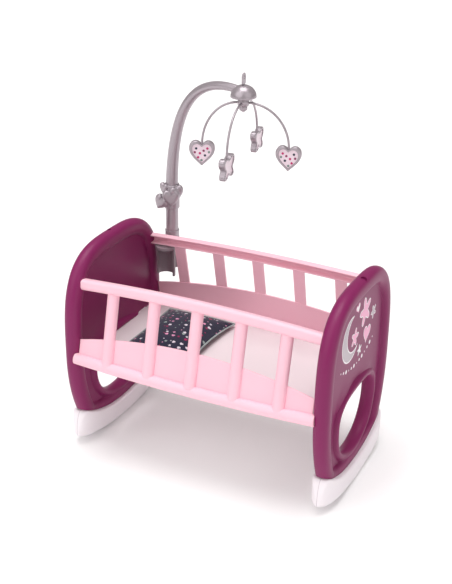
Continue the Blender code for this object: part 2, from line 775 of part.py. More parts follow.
def top_rail(name):
    """The top rail: a bowed bar, rounded outside and hollowed from inside."""
    bar = bowed_bar(name, TOP_RAIL_LENGTH, rail_low,
                    rail_section(TOP_RAIL_DEPTH, TOP_RAIL_HEIGHT, TOP_RAIL_ROUNDING, SKIRT_THICKNESS))
    channel = bowed_bar(name + "_channel", TOP_RAIL_LENGTH - 2 * RAIL_WALL,
                        lambda along: rail_low(along) + RAIL_WALL,
                        rail_section(TOP_RAIL_DEPTH - RAIL_WALL + OVERRUN, TOP_RAIL_HEIGHT - 2 * RAIL_WALL,
                                     TOP_RAIL_ROUNDING - RAIL_WALL, SKIRT_THICKNESS + OVERRUN))
    combine(bar, channel)
    return baked(bar)


def make_base(name, material):
    """The bed base: a thin plate with a tongue at each end and ribs below."""
    half_width = inner_face(BASE_HEIGHT) - BASE_SIDE_PLAY
    shoulder = PANEL_SPACING / 2 - RIM_HALF_DEPTH - GAP
    tip = PANEL_SPACING / 2 - WEB_HALF_DEPTH - HOLE_LIP_RISE - GAP
    base = box(name, (2 * shoulder, 2 * half_width, BASE_THICKNESS), collection=PARTS)
    base.location = (0, 0, BASE_HEIGHT - BASE_THICKNESS / 2)
    tongue = box(name + "_tongue", (2 * tip, 2 * BASE_TONGUE_HALF, BASE_THICKNESS), base.location)
    combine(base, tongue, "UNION", CRADLE)
    for index in range(BASE_RIB_COUNT):
        along = (index - (BASE_RIB_COUNT - 1) / 2) * 2 * shoulder / BASE_RIB_COUNT
        middle = BASE_HEIGHT - BASE_THICKNESS - (BASE_RIB_HEIGHT - EMBED) / 2
        rib = box(f"{name}_rib_{index + 1}", (BASE_THICKNESS, BASE_RIB_LENGTH, BASE_RIB_HEIGHT + EMBED),
                  (along, 0, middle))
        combine(base, rib, "UNION", CRADLE)
    return dress(base, material, CRADLE)


def make_pillow(name, material):
    """The pillow: crowned, thin at its seam and drawn in between its corners."""
    def build(shape):
        bmesh.ops.create_cube(shape, size=2)
        bmesh.ops.subdivide_edges(shape, edges=shape.edges, cuts=PILLOW_STEPS - 1, use_grid_fill=True)
        for vertex in shape.verts:
            vertex.co = pillow_point(*vertex.co)
    pillow = primitive(name, build, PARTS)
    low = min(vertex.co.z for vertex in pillow.data.vertices)
    pillow.location = (PILLOW_CENTRE, 0, BASE_HEIGHT + GAP - low)
    return dress(pillow, material, CRADLE, 80)


def pillow_point(along, across, up):
    """Place of a unit cube's point on the pillow."""
    upper = up > 0
    fullness = (1 - abs(along) ** PILLOW_SPREAD_POWER) * (1 - abs(across) ** PILLOW_SPREAD_POWER)
    crown = fullness ** (PILLOW_TOP_POWER if upper else PILLOW_FOOT_POWER)
    share = PILLOW_TOP_SHARE if upper else 1 - PILLOW_TOP_SHARE
    half_edge = PILLOW_EDGE / 2
    half_height = half_edge + (PILLOW_CROWN - PILLOW_EDGE) * share * crown
    round_out = half_edge * math.sqrt(max(1 - up ** 2, 0))
    half_length = PILLOW_LENGTH / 2 - half_edge - PILLOW_DRAW_IN * (1 - across ** 2)
    half_width = PILLOW_WIDTH / 2 - half_edge - PILLOW_DRAW_IN * (1 - along ** 2)
    x = along * half_length + (round_out * along if abs(along) == 1 else 0)
    y = across * half_width + (round_out * across if abs(across) == 1 else 0)
    return Vector((x, y, up * half_height))


def make_bracket(name, material):
    """The bracket: a socket tube behind the rail, and a curved clip wall under a round shelf."""
    spot = (POST_X, POST_Y)
    clip_spot = (POST_X, SHELF_CENTRE_Y)
    under_shelf = SHELF_TOP - SHELF_THICKNESS
    bracket = cylinder(name, POST_RADIUS + SOCKET_WALL, SOCKET_FOOT, COLLAR_FOOT - GAP, spot,
                       collection=PARTS)
    clip = cylinder(name + "_clip", SHELF_RADIUS, CLIP_FOOT, SHELF_TOP, clip_spot)
    hollow = cylinder(name + "_hollow", SHELF_RADIUS - CLIP_WALL, CLIP_FOOT - OVERRUN, under_shelf, clip_spot)
    front_height = under_shelf - CLIP_FOOT + OVERRUN
    front = box(name + "_front", (3 * SHELF_RADIUS, 2 * SHELF_RADIUS, front_height),
                (POST_X, SHELF_CENTRE_Y - SHELF_RADIUS - GAP, under_shelf - front_height / 2))
    combine(clip, hollow, "DIFFERENCE", CRADLE)
    combine(clip, front, "DIFFERENCE", CRADLE)
    combine(bracket, clip, "UNION", CRADLE)
    bore = cylinder(name + "_bore", POST_RADIUS + GAP, POST_FOOT - GAP, COLLAR_TOP, spot)
    combine(bracket, bore, "DIFFERENCE", CRADLE)
    return dress(bracket, material, CRADLE)


def make_collar(name, material):
    """The ring that closes the socket round the post."""
    spot = (POST_X, POST_Y)
    collar = cylinder(name, POST_RADIUS + SOCKET_WALL, COLLAR_FOOT, COLLAR_TOP, spot, 32, collection=PARTS)
    bore = cylinder(name + "_bore", POST_RADIUS + GAP, COLLAR_FOOT - OVERRUN, COLLAR_TOP + OVERRUN, spot, 32)
    combine(collar, bore, "DIFFERENCE", CRADLE)
    return dress(collar, material, CRADLE)


def make_post(name, material):
    """The straight lower post, with a socket in its top for the arm's spigot."""
    spot = (POST_X, POST_Y)
    top = POST_JOINT - GAP
    post = cylinder(name, POST_RADIUS, POST_FOOT, top, spot, 32, collection=PARTS)
    socket = cylinder(name + "_socket", SPIGOT_RADIUS + GAP, POST_JOINT - SPIGOT_LENGTH - GAP,
                      POST_JOINT + OVERRUN, spot, 24)
    combine(post, socket, "DIFFERENCE", CRADLE)
    return dress(post, material, CRADLE)


def heart_line(width, height, steps=12):
    """Heart outline with its notch at the origin and its tip below."""
    raw = []
    for step in range(8 * steps + 1):
        turn = math.pi * step / (8 * steps)
        across = (1 - HEART_TIP_SHARE) * math.sin(turn) - HEART_TIP_SHARE * math.sin(3 * turn)
        up = sum(share * math.cos((wave + 1) * turn) for wave, share in enumerate(HEART_WAVE_SHARES))
        raw.append((across, up))
    return fitted(raw, width, height, steps)


def wing_line(width, height, steps=14):
    """Butterfly outline with its top notch at the origin."""
    body, lobes, lift = WING_WAVE_SHARES
    raw = []
    for step in range(8 * steps + 1):
        turn = math.pi * step / (8 * steps)
        reach = body - lobes * math.cos(4 * turn) + lift * math.cos(turn)
        raw.append((reach * math.sin(turn), reach * math.cos(turn)))
    return fitted(raw, width, height, steps)


def fitted(raw, width, height, steps):
    """Scale half an outline to a full size, with its first point at the origin, and close it."""
    wide = max(point[0] for point in raw)
    tall = max(point[1] for point in raw) - min(point[1] for point in raw)
    half = [(point[0] * width / 2 / wide, (point[1] - raw[0][1]) * height / tall) for point in raw]
    half[0] = (0, 0)
    half[-1] = (0, half[-1][1])
    return mirrored(evenly(half, steps))


def about_middle(outline, share):
    """Shrink an outline towards the middle of its height."""
    ups = [point[1] for point in outline]
    middle = (max(ups) + min(ups)) / 2
    return [(across * share, middle + (up - middle) * share) for across, up in outline]


def make_cluster(name, material):
    """The sleeve of puffed hearts that hides the joint of the post and the arm."""
    spot = (POST_X, POST_Y)
    outer = POST_RADIUS + CLUSTER_WALL
    cluster = cylinder(name, outer, CLUSTER_FOOT, CLUSTER_TOP, spot, collection=PARTS)
    for index, (turn, aside, height_share, size_share, tilt) in enumerate(CLUSTER_HEART_SHARES):
        size = CLUSTER_HEART_SIZE * size_share
        depth = CLUSTER_HEART_DEPTH * size_share
        outline = heart_line(size, size, 9)
        middle = (max(point[1] for point in outline) + min(point[1] for point in outline)) / 2
        heart = flat_solid(f"{name}_heart_{index + 1}", outline, depth / 2, depth * HEART_PUFF_SHARE)
        heart.data.transform(Matrix.Translation((0, -middle, 0)))
        heart.data.transform(Matrix.Rotation(math.radians(tilt), 4, "Z"))
        height = CLUSTER_FOOT + (CLUSTER_TOP - CLUSTER_FOOT) * height_share
        heart.data.transform(Matrix.Translation((CLUSTER_HEART_SIZE * aside, 0, outer)))
        heart.rotation_euler = (math.radians(90), 0, math.radians(turn + 90))
        heart.location = (*spot, height)
        combine(cluster, heart, "UNION", CRADLE)
    bore = cylinder(name + "_bore", POST_RADIUS + GAP, CLUSTER_FOOT - OVERRUN, CLUSTER_TOP + OVERRUN, spot)
    combine(cluster, bore, "DIFFERENCE", CRADLE)
    return dress(cluster, material, CRADLE)


def arm_run():
    """Level distance from the post to the dome's axis."""
    return math.hypot(AXIS_X - POST_X, AXIS_Y - POST_Y)


def arm_line(steps=17):
    """Centre line of the arm in its own upright plane: up from the post, then over to the dome."""
    end = arm_run() - DOME_RADIUS + DOME_ENTRY
    lift = ARM_REACH * math.tan(math.radians(ARM_TIP_SLOPE))
    line = bezier((0, POST_JOINT), (0, POST_JOINT + ARM_RISE), (end - ARM_REACH, ARM_TIP_HEIGHT + lift),
                  (end, ARM_TIP_HEIGHT), 8 * steps)
    return evenly(line, steps)


def make_arm(name, material):
    """The curved arm, tapering towards the dome, with the spigot that plugs into the post."""
    place = new_empty(name + "_place", (POST_X, POST_Y, 0),
                      (0, 0, math.atan2(AXIS_Y - POST_Y, AXIS_X - POST_X)), CRADLE)
    points = [(along, 0, up) for along, up in arm_line()]
    taper = 1 - ARM_TIP_RADIUS / POST_RADIUS
    radii = [1 - taper * index / (len(points) - 1) for index in range(len(points))]
    arm = tube(name, points, POST_RADIUS, 3, radii, PARTS)
    spigot = cylinder(name + "_spigot", SPIGOT_RADIUS, POST_JOINT - SPIGOT_LENGTH, POST_JOINT + EMBED)
    combine(arm, spigot, "UNION", place)
    return dress(arm, material, place)


def make_dome(name, material):
    """The hollow dome at the arm's tip, with the bearing boss for the rotor's axle."""
    inner_radius = DOME_RADIUS - DOME_WALL
    inner_height = DOME_HEIGHT - DOME_WALL
    outer = [(across, DOME_FOOT + up) for across, up in superellipse(DOME_RADIUS, DOME_HEIGHT, 2, 2, 7)]
    quarter = superellipse(inner_radius, inner_height, 2, 2, 7)
    inner = [(across, DOME_FOOT + up) for across, up in reversed(quarter) if across > AXLE_BOSS_RADIUS]
    ceiling = DOME_FOOT + inner_height * math.sqrt(1 - (AXLE_BOSS_RADIUS / inner_radius) ** 2)
    boss_foot = HUB_TOP + RUNNING_GAP
    bore = AXLE_RADIUS + GAP
    bore_top = HUB_TOP + AXLE_LENGTH + RUNNING_GAP
    profile = outer + inner + [(AXLE_BOSS_RADIUS, ceiling), (AXLE_BOSS_RADIUS, boss_foot), (bore, boss_foot),
                               (bore, bore_top), (0, bore_top)]
    dome = turned(name, profile, 24, PARTS)
    dome.location = (AXIS_X, AXIS_Y, 0)
    turn = math.atan2(AXIS_Y - POST_Y, AXIS_X - POST_X)
    slope = math.radians(ARM_TIP_SLOPE)
    back = DOME_RADIUS - DOME_ENTRY
    entry_start = back / math.cos(slope) - 2 * GAP
    entry = cylinder(name + "_entry", ARM_TIP_RADIUS + 3 * GAP, entry_start, 2 * DOME_RADIUS)
    entry.data.transform(Matrix.Translation((0, 0, entry.location.z)))
    entry.location = (AXIS_X, AXIS_Y, ARM_TIP_HEIGHT - back * math.tan(slope))
    entry.rotation_euler = (0, slope - math.pi / 2, turn)
    combine(dome, entry, "DIFFERENCE", CRADLE)
    stem_hole = cylinder(name + "_stem_hole", RING_THICKNESS / 2 + GAP, dome_top() - RING_WIDTH / 2,
                         dome_top() + OVERRUN, (AXIS_X, AXIS_Y), 16)
    combine(dome, stem_hole, "DIFFERENCE", CRADLE)
    return dress(dome, material, CRADLE)


def dome_top():
    """Height of the top of the dome."""
    return DOME_FOOT + DOME_HEIGHT


def make_ring(name, material):
    """The flat loop on the dome, with a stem in the dome's top."""
    half = RING_HEIGHT / 2
    upper = superellipse(RING_WIDTH / 2, half, RING_TOP_POWER, RING_TOP_POWER, 6)
    lower = superellipse(RING_WIDTH / 2, half, RING_FOOT_POWER, RING_FOOT_POWER, 4)
    outline = mirrored(upper + [(across, -up) for across, up in reversed(lower[:-1])])
    ring = flat_solid(name, outline, RING_THICKNESS / 2, RING_THICKNESS / 4, PARTS, resolution=0)
    stands_across(ring)
    ring.location = (AXIS_X, AXIS_Y, dome_top() + GAP + half)
    hole = cylinder(name + "_hole", RING_HOLE_RADIUS, -RING_THICKNESS, RING_THICKNESS, sides=20)
    hole.rotation_euler = (0, math.radians(90), 0)
    hole.location = (AXIS_X, AXIS_Y, dome_top() + half + RING_HOLE_RADIUS)
    combine(ring, hole, "DIFFERENCE", CRADLE)
    stem = cylinder(name + "_stem", RING_THICKNESS / 2, dome_top() - RING_WIDTH / 2 + GAP,
                    dome_top() + RING_HOLE_RADIUS, (AXIS_X, AXIS_Y), 16)
    combine(ring, stem, "UNION", CRADLE)
    return dress(ring, material, CRADLE)


def make_rotor(silver, face):
    """The turning part of the mobile: hub, nose, rods and pendants, hung from the dome's boss."""
    place = new_empty("rotor_place", (AXIS_X, AXIS_Y, 0), parent=CRADLE)
    axle_top = HUB_TOP + AXLE_LENGTH
    pin_top = HUB_FOOT + NOSE_PIN_LENGTH
    pin_bore = AXLE_RADIUS + GAP
    hub = turned("rotor_hub", [(0, axle_top), (AXLE_RADIUS, axle_top), (AXLE_RADIUS, HUB_TOP),
                               (HUB_RADIUS, HUB_TOP), (HUB_RADIUS, HUB_FOOT), (pin_bore, HUB_FOOT),
                               (pin_bore, pin_top), (0, pin_top)], 24, PARTS)
    nose_top = HUB_FOOT - GAP
    nose = turned("hub_nose", [(0, pin_top - GAP), (AXLE_RADIUS, pin_top - GAP), (AXLE_RADIUS, nose_top),
                               (NOSE_RADIUS, nose_top), (NOSE_RADIUS, NOSE_EDGE), (0, NOSE_TIP)], 24, PARTS)
    dress(nose, silver, place)
    for name, turn, reach_share in ROD_SHARES:
        reach = ROD_REACH * reach_share
        arm_place = new_empty(name + "_arm", rotation=(0, 0, math.radians(turn)), parent=place)
        socket = cylinder(name + "_socket", ROD_RADIUS + GAP, HUB_RADIUS - ROD_ROOT_DEPTH, 2 * HUB_RADIUS,
                          sides=12)
        socket.data.transform(Matrix.Translation((0, 0, socket.location.z)))
        socket.location = (0, 0, ROD_ROOT_HEIGHT)
        socket.rotation_euler = (0, math.radians(90), 0)
        combine(hub, socket, "DIFFERENCE", arm_place)
        make_rod(name + "_rod", reach, arm_place, silver)
        make_pendant(name, reach, arm_place, silver, face)
    return dress(hub, silver, place)


def rod_tip():
    """Height of the rods' tips above the floor."""
    return ROD_ROOT_HEIGHT - ROD_DROP


def make_rod(name, reach, arm_place, material):
    """A rod that springs out of the hub and bends down, with a pin for its pendant."""
    curve = superellipse(reach - HUB_RADIUS, ROD_DROP, 2, 2, 9)
    points = [(HUB_RADIUS - ROD_ROOT_DEPTH + GAP, 0, ROD_ROOT_HEIGHT)]
    points += [(HUB_RADIUS + across, 0, rod_tip() + up) for across, up in curve]
    rod = tube(name, points, ROD_RADIUS, 1, collection=PARTS)
    tip = rod_tip()
    pin = cylinder(name + "_pin", ROD_PIN_RADIUS, tip - ROD_PIN_LENGTH, tip + EMBED, (reach, 0), 8)
    combine(rod, pin, "UNION", arm_place)
    return dress(rod, material, arm_place)


def make_pendant(name, reach, arm_place, silver, face):
    """A pendant at a rod's tip: a framed plate with a coloured face let into each side."""
    hearted = name.startswith("heart")
    width = HEART_WIDTH if hearted else WING_WIDTH
    outline = heart_line(width, HEART_HEIGHT) if hearted else wing_line(width, WING_HEIGHT)
    inner = about_middle(outline, 1 - 2 * FACE_INSET / width)
    place = new_empty(name + "_place", (reach, 0, rod_tip() - GAP), (math.radians(90), 0, 0), arm_place)
    half_depth = PENDANT_DEPTH / 2
    frame = flat_solid(name + "_frame", outline, half_depth, PENDANT_ROUNDING, PARTS, resolution=0)
    floor = half_depth - FACE_RECESS
    cut_depth = FACE_RECESS + OVERRUN
    for label, side in (("left", 1), ("right", -1)):
        recess = flat_solid(f"{name}_recess_{label}", inner, cut_depth / 2)
        recess.location = (0, 0, side * (floor + cut_depth / 2))
        combine(frame, recess, "DIFFERENCE", place)
        plate = flat_solid(f"{name}_face_{label}", inner, FACE_THICKNESS / 2, collection=PARTS, inset=GAP)
        plate.location = (0, 0, side * (floor + GAP + FACE_THICKNESS / 2))
        dress(plate, face, place)
    for label, radius, low in (("pin", ROD_PIN_RADIUS, -ROD_PIN_LENGTH), ("end", ROD_RADIUS, 0)):
        hole = cylinder(f"{name}_{label}_hole", radius + GAP, low - GAP, ROD_PIN_LENGTH + OVERRUN, sides=12)
        hole.data.transform(Matrix.Translation((0, 0, hole.location.z)))
        hole.location = (0, 0, 0)
        hole.rotation_euler = (math.radians(-90), 0, 0)
        combine(frame, hole, "DIFFERENCE", place)
    return dress(frame, silver, place)


def centre_offset():
    """How far the middle of the bounding box lies behind the middle of the bed."""
    lean = math.radians(SIDE_LEAN)
    bead_out = math.hypot(BEAD_DEPTH * math.cos(lean), BEAD_RADIUS * math.sin(lean))
    front = SIDE_REACH + bead_out + (BEAD_DROP + BEAD_BOW) * math.sin(lean)
    flat_edge = PENDANT_DEPTH / 2 - PENDANT_ROUNDING
    back = 0
    for name, turn, reach_share in ROD_SHARES:
        width = HEART_WIDTH if name.startswith("heart") else WING_WIDTH
        across = (ROD_REACH * reach_share + width / 2) * math.sin(math.radians(turn))
        back = max(back, AXIS_Y + across + flat_edge * abs(math.cos(math.radians(turn))))
    return (back - front) / 2


def make_all():
    """Make every piece of the cradle."""
    make_panel("head_panel", -1, PLUM_PLASTIC)
    make_panel("foot_panel", 1, PLUM_PLASTIC)
    make_rocker("head_rocker", -1, WHITE_PLASTIC)
    make_rocker("foot_rocker", 1, WHITE_PLASTIC)
    for label, place in SIDES.items():
        make_side(f"{label}_side", place, PINK_PLASTIC)
    make_base("bed_base", WHITE_PLASTIC)
    make_pillow("pillow", NAVY_CLOTH)
    make_bracket("mobile_bracket", SILVER_PLASTIC)
    make_collar("post_collar", SILVER_PLASTIC)
    make_post("lower_post", SILVER_PLASTIC)
    make_cluster("heart_cluster", SILVER_PLASTIC)
    make_arm("curved_arm", SILVER_PLASTIC)
    make_dome("mobile_dome", SILVER_PLASTIC)
    make_ring("top_ring", SILVER_PLASTIC)
    make_rotor(SILVER_PLASTIC, PINK_FACE)


for old in list(bpy.data.objects):
    bpy.data.objects.remove(old, do_unlink=True)
PARTS = new_collection("doll_cradle")
GUIDES = new_collection("cutters")
PLUM_PLASTIC = new_material("plum_plastic", PLUM, 0.35)
PINK_PLASTIC = new_material("pink_plastic", PINK, 0.38)
WHITE_PLASTIC = new_material("white_plastic", WHITE, 0.40)
SILVER_PLASTIC = new_material("silver_plastic", SILVER, 0.38, 0.3)
PINK_FACE = new_material("pink_face", FACE_PINK, 0.45)
NAVY_CLOTH = new_material("navy_cloth", NAVY, 0.90)
STEEL_METAL = new_material("screw_steel", STEEL, 0.35, 1.0)
CRADLE = new_empty("cradle", (0, -centre_offset(), 0))
SIDES = {}
for side_label, side_sign, side_turn in (("front", -1, 0), ("back", 1, math.pi)):
    SIDES[side_label] = new_empty(side_label + "_place", (0, side_sign * SIDE_REACH, side_base()),
                                  (-math.radians(SIDE_LEAN), 0, side_turn), CRADLE)
make_all()
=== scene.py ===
"""Looks of a doll cradle with rocking feet, slatted sides, a pillow and a turning mobile."""
# %% [markdown]
# ## The cradle's frame
# The cradle's exact solids come first: panels, rockers, rails, bed base and mobile, each at its real
# place in metres. Everything that follows is fitted to them, so the pieces that are shown keep the
# real sizes.

# %% Load the frame
import math
import bmesh
import bpy
import numpy as np
from mathutils import Matrix, Vector


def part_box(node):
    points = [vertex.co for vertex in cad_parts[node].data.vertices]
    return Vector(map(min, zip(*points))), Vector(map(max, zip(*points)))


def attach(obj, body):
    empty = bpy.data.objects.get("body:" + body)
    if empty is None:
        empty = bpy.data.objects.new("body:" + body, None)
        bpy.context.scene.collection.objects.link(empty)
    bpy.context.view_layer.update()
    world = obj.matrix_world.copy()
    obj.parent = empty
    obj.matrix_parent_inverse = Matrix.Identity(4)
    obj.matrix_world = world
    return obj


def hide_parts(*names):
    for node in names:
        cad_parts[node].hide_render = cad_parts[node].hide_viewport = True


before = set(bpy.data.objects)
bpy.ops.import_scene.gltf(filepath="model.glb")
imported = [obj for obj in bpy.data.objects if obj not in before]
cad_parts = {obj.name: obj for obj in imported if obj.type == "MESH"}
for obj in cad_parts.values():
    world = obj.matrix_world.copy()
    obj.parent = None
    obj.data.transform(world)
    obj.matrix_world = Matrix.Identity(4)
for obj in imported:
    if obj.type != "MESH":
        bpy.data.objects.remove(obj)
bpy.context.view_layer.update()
LIFT = 0.0002  # thickness of a printed layer
TINY = 0.0001  # stands in for zero where points would meet on an axis
MIDDLE_Y = (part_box("head_panel")[0].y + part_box("head_panel")[1].y) / 2
print("pieces in the frame:", len(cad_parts))

# %% [markdown]
# ## Helpers for colour and nodes
# Colours are written as the hex values that a paint program shows. Blender's shaders work in linear
# light, so one function converts them. Another adds a node with its settings and links, and serves
# both materials and Geometry Nodes, which keeps each recipe down to one line per node. The short
# ones after it add the nodes that come back in almost every recipe.


# %% Colour and node helpers
def colour(code):
    """Turn an sRGB hex colour into linear RGBA."""
    parts = [int(code[index:index + 2], 16) / 255 for index in (1, 3, 5)]
    return (*[part / 12.92 if part <= 0.04045 else ((part + 0.055) / 1.055) ** 2.4 for part in parts], 1.0)


def add(tree, kind, inputs=None, **settings):
    """Add a node, set its properties, and fill its inputs with values or links."""
    made = tree.nodes.new(kind)
    for setting, value in settings.items():
        setattr(made, setting, value)
    for socket, value in (inputs or {}).items():
        if isinstance(value, bpy.types.NodeSocket):
            tree.links.new(value, made.inputs[socket])
        else:
            made.inputs[socket].default_value = value
    return made


def maths(tree, operation, first, second=0.0, third=0.0):
    """Output of a Math node."""
    return add(tree, "ShaderNodeMath", {0: first, 1: second, 2: third}, operation=operation).outputs[0]


def blend(tree, share, first, second):
    """A colour that goes from the first to the second as the share goes from 0 to 1."""
    return add(tree, "ShaderNodeMix", {0: share, 6: first, 7: second}, data_type="RGBA").outputs[2]


def spread(tree, share, low, high):
    """A number that goes from low to high as the share goes from 0 to 1."""
    return add(tree, "ShaderNodeMapRange", {"Value": share, "To Min": low, "To Max": high}).outputs["Result"]


def place_on_piece(tree):
    """Where a point lies on its piece, in metres."""
    return add(tree, "ShaderNodeTexCoord").outputs["Object"]


def noise(tree, scale, detail=2.0, **more):
    """Soft noise over the piece, with so many waves to the metre."""
    inputs = {"Vector": place_on_piece(tree), "Scale": scale, "Detail": detail, **more}
    return add(tree, "ShaderNodeTexNoise", inputs).outputs["Fac"]


def relief(tree, height, depth, strength=1.0, **more):
    """The surface direction of a fine relief, as high as the depth."""
    inputs = {"Height": height, "Distance": depth, "Strength": strength, **more}
    return add(tree, "ShaderNodeBump", inputs).outputs["Normal"]


def feed(node, **sources):
    """Link outputs to a node's inputs, given by name."""
    for socket, source in sources.items():
        node.id_data.links.new(source, node.inputs[socket.replace("_", " ")])


def new_material(name, **values):
    """Return a material, its node tree and its Principled shader, set to the given values."""
    made = bpy.data.materials.new(name)
    made.use_nodes = True
    shader = made.node_tree.nodes["Principled BSDF"]
    for socket, value in values.items():
        shader.inputs[socket.replace("_", " ")].default_value = value
    return made, made.node_tree, shader


print("plum in linear light:", [round(part, 3) for part in colour("#86225c")])

# %% [markdown]
# ## Moulded plastics
# The end panels are blow-moulded polyethylene: a tube of hot plastic is blown against a cold mould,
# which leaves a satin skin with a very fine orange peel. The rails, rockers and bed base are
# injection-moulded polypropylene, a little smoother. All four share one recipe: a base colour that
# drifts slightly, as pigment does, and a fine bump. The peel is drawn 1.6 mm wide on the panels and
# 1.0 to 1.2 mm on the rest. The patterns read Object coordinates, which are real metres here.


# %% Plastic recipe
def plastic(name, base, drift, roughness, peel_width, peel_height, **values):
    """A moulded plastic: pigment that drifts a little, and a fine peel on the skin."""
    made, tree, shader = new_material(name, **values)
    peel = noise(tree, 1 / peel_width, 3.0)
    feed(shader, Base_Color=blend(tree, noise(tree, 9.0), colour(base), colour(drift)),
         Roughness=spread(tree, peel, roughness - 0.04, roughness + 0.05),
         Normal=relief(tree, peel, peel_height))
    return made


# Blow-moulded polyethylene: satin, deep plum, with broad soft highlights on its rounded rims.
PLUM = plastic("blow_moulded_polyethylene_plum", "#86225c", "#7f1f56", 0.40, 0.0016, 0.00004,
               Specular_IOR_Level=0.28)
# Injection-moulded polypropylene: pale pink, an even satin with soft highlights on its bars.
PINK = plastic("moulded_polypropylene_pink", "#fdcbd9", "#fcc5d4", 0.40, 0.0010, 0.00002)
# The same plastic without pigment: a cool, faintly lilac white.
WHITE = plastic("moulded_polypropylene_white", "#f6f0f4", "#f3ecf1", 0.42, 0.0012, 0.00003)
# The bed base has a coarser eroded mould finish, which takes the gloss away.
BASE_WHITE = plastic("eroded_polypropylene_white", "#efe3e6", "#ecdfe2", 0.52, 0.0012, 0.00005)
print("plastics:", [made.name for made in (PLUM, PINK, WHITE, BASE_WHITE)])

# %% [markdown]
# ## Pearly plastic, print and steel
# The mobile is ABS with fine aluminium and mica flakes in it. That gives the eye a silver-grey body
# with a soft metallic sheen and no mirror image. Real flakes are about 0.05 mm, far too fine to
# show, so they are drawn ten times coarser and very faint. The faces of the pendants are printed
# under a clear coat, and the screws are zinc plated.

# %% Pearly plastic
FLAKE = 0.0005  # width of a drawn flake
PEARL, tree, shader = new_material("pearl_abs_silver", Metallic=0.50, Coat_Weight=0.20, Coat_Roughness=0.25)
flakes = add(tree, "ShaderNodeTexVoronoi", {"Vector": place_on_piece(tree), "Scale": 1 / FLAKE})
feed(shader, Base_Color=blend(tree, flakes.outputs["Distance"], colour("#a0969e"), colour("#b9b0b6")),
     Roughness=spread(tree, flakes.outputs["Distance"], 0.27, 0.37))
print("flakes in a metre:", round(1 / FLAKE))


# %% Grey plastic and steel
def two_toned(name, first, second, grain, **values):
    """A material that wavers between two tones, in grains of the given width."""
    made, tree, shader = new_material(name, **values)
    feed(shader, Base_Color=blend(tree, noise(tree, 1 / grain), colour(first), colour(second)))
    return made


# The same ABS for the clip, drawn darker as painted shade, because the clip sits in the shade of the rail.
CLIP_PAINTED_SHADE = two_toned("moulded_abs_grey_painted_shade", "#8d8087", "#95888f", 1 / 900, Roughness=0.42)
# Zinc plating: a bluish grey metal with faint turning marks, 0.3 mm apart.
ZINC = two_toned("zinc_plated_steel", "#b9bcc2", "#d0d2d6", 0.0003, Metallic=1.0, Roughness=0.34)
print("grey plastic and steel:", CLIP_PAINTED_SHADE.name, ZINC.name)

# %% [markdown]
# ## Printed inks
# Pad-printed ink lies on the plastic as a film a few hundredths of a millimetre thick, with a
# slightly glossier skin than the moulding. Each ink is one colour with a faint mottle, because ink
# never covers evenly.


# %% Ink recipe
def ink(name, base, roughness=0.3, **values):
    """A printed ink with a faint mottle."""
    made, tree, shader = new_material(name, **values)
    mottle = noise(tree, 700.0)
    tint = add(tree, "ShaderNodeVectorMath", {0: colour(base)[:3], "Scale": spread(tree, mottle, 0.94, 1.06)},
               operation="SCALE")
    feed(shader, Base_Color=tint.outputs["Vector"],
         Roughness=spread(tree, mottle, roughness - 0.04, roughness + 0.06))
    return made


FACE = ink("printed_abs_face_pink", "#f3dfea", 0.32, Coat_Weight=0.4, Coat_Roughness=0.12)
INKS = {
    "magenta": ink("pad_ink_magenta", "#c00468"),
    "plum": ink("pad_ink_plum", "#8c2a5c"),
    "navy": ink("pad_ink_navy", "#14173a"),
    "sage": ink("pad_ink_sage", "#7f928c"),
    "white": ink("pad_ink_white", "#f6eef3"),
    "rose": ink("pad_ink_rose", "#f0a3c8"),
    "silver": ink("pad_ink_silver", "#b9aeb6", 0.34, Metallic=0.4),
}
print("inks:", list(INKS))

# %% [markdown]
# ## Tools for shaping
# Most pieces here are skins over rings of points, like the ribs of a boat with planking on them.
# One function builds such a skin from a list of rings, closes it, and points its faces outwards.
# Another gives a piece its material and smooth shading, and hands it to the part that carries it.
# The last ones copy a solid of the frame, and round its edges or melt its forms together.


# %% Objects and skins
def placed(name, data):
    """Put a new object with the given data into the scene."""
    made = bpy.data.objects.new(name, data)
    bpy.context.scene.collection.objects.link(made)
    return made


def as_object(shape, name):
    """Turn a finished BMesh into an object."""
    mesh = bpy.data.meshes.new(name)
    shape.to_mesh(mesh)
    shape.free()
    return placed(name, mesh)


def skin(name, rings, closed=False):
    """A closed mesh over rings of equally many points, joined end to end or capped."""
    shape = bmesh.new()
    loops = [[shape.verts.new(point) for point in ring] for ring in rings]
    pairs = list(zip(loops, loops[1:])) + ([(loops[-1], loops[0])] if closed else [])
    for before, after in pairs:
        for index in range(len(before)):
            following = (index + 1) % len(before)
            shape.faces.new((before[index], before[following], after[following], after[index]))
    if not closed:
        shape.faces.new(loops[0])
        shape.faces.new(loops[-1])
    bmesh.ops.remove_doubles(shape, verts=shape.verts, dist=0.000002)
    bmesh.ops.recalc_face_normals(shape, faces=shape.faces)
    return as_object(shape, name)


# %% Finish of a piece
def shaped_mesh(target):
    """The mesh that a piece's modifiers make."""
    bpy.context.view_layer.update()
    return bpy.data.meshes.new_from_object(target.evaluated_get(bpy.context.evaluated_depsgraph_get()))


def baked(target):
    """Apply a piece's modifiers, so that it is a plain mesh again."""
    mesh = shaped_mesh(target)
    target.modifiers.clear()
    target.data = mesh
    return target


def finish_piece(target, body, material, nodes=(), angle=35):
    """Give a piece its material and shading, and let it ride on its body in place of its CAD nodes."""
    target.data.materials.clear()
    target.data.materials.append(material)
    target.data.shade_smooth()
    target.data.set_sharp_from_angle(angle=math.radians(angle))
    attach(target, body)
    if nodes:
        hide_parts(*nodes)
    print(f"{target.name}: {len(target.data.polygons)} faces")


print("modifiers and finish ready")


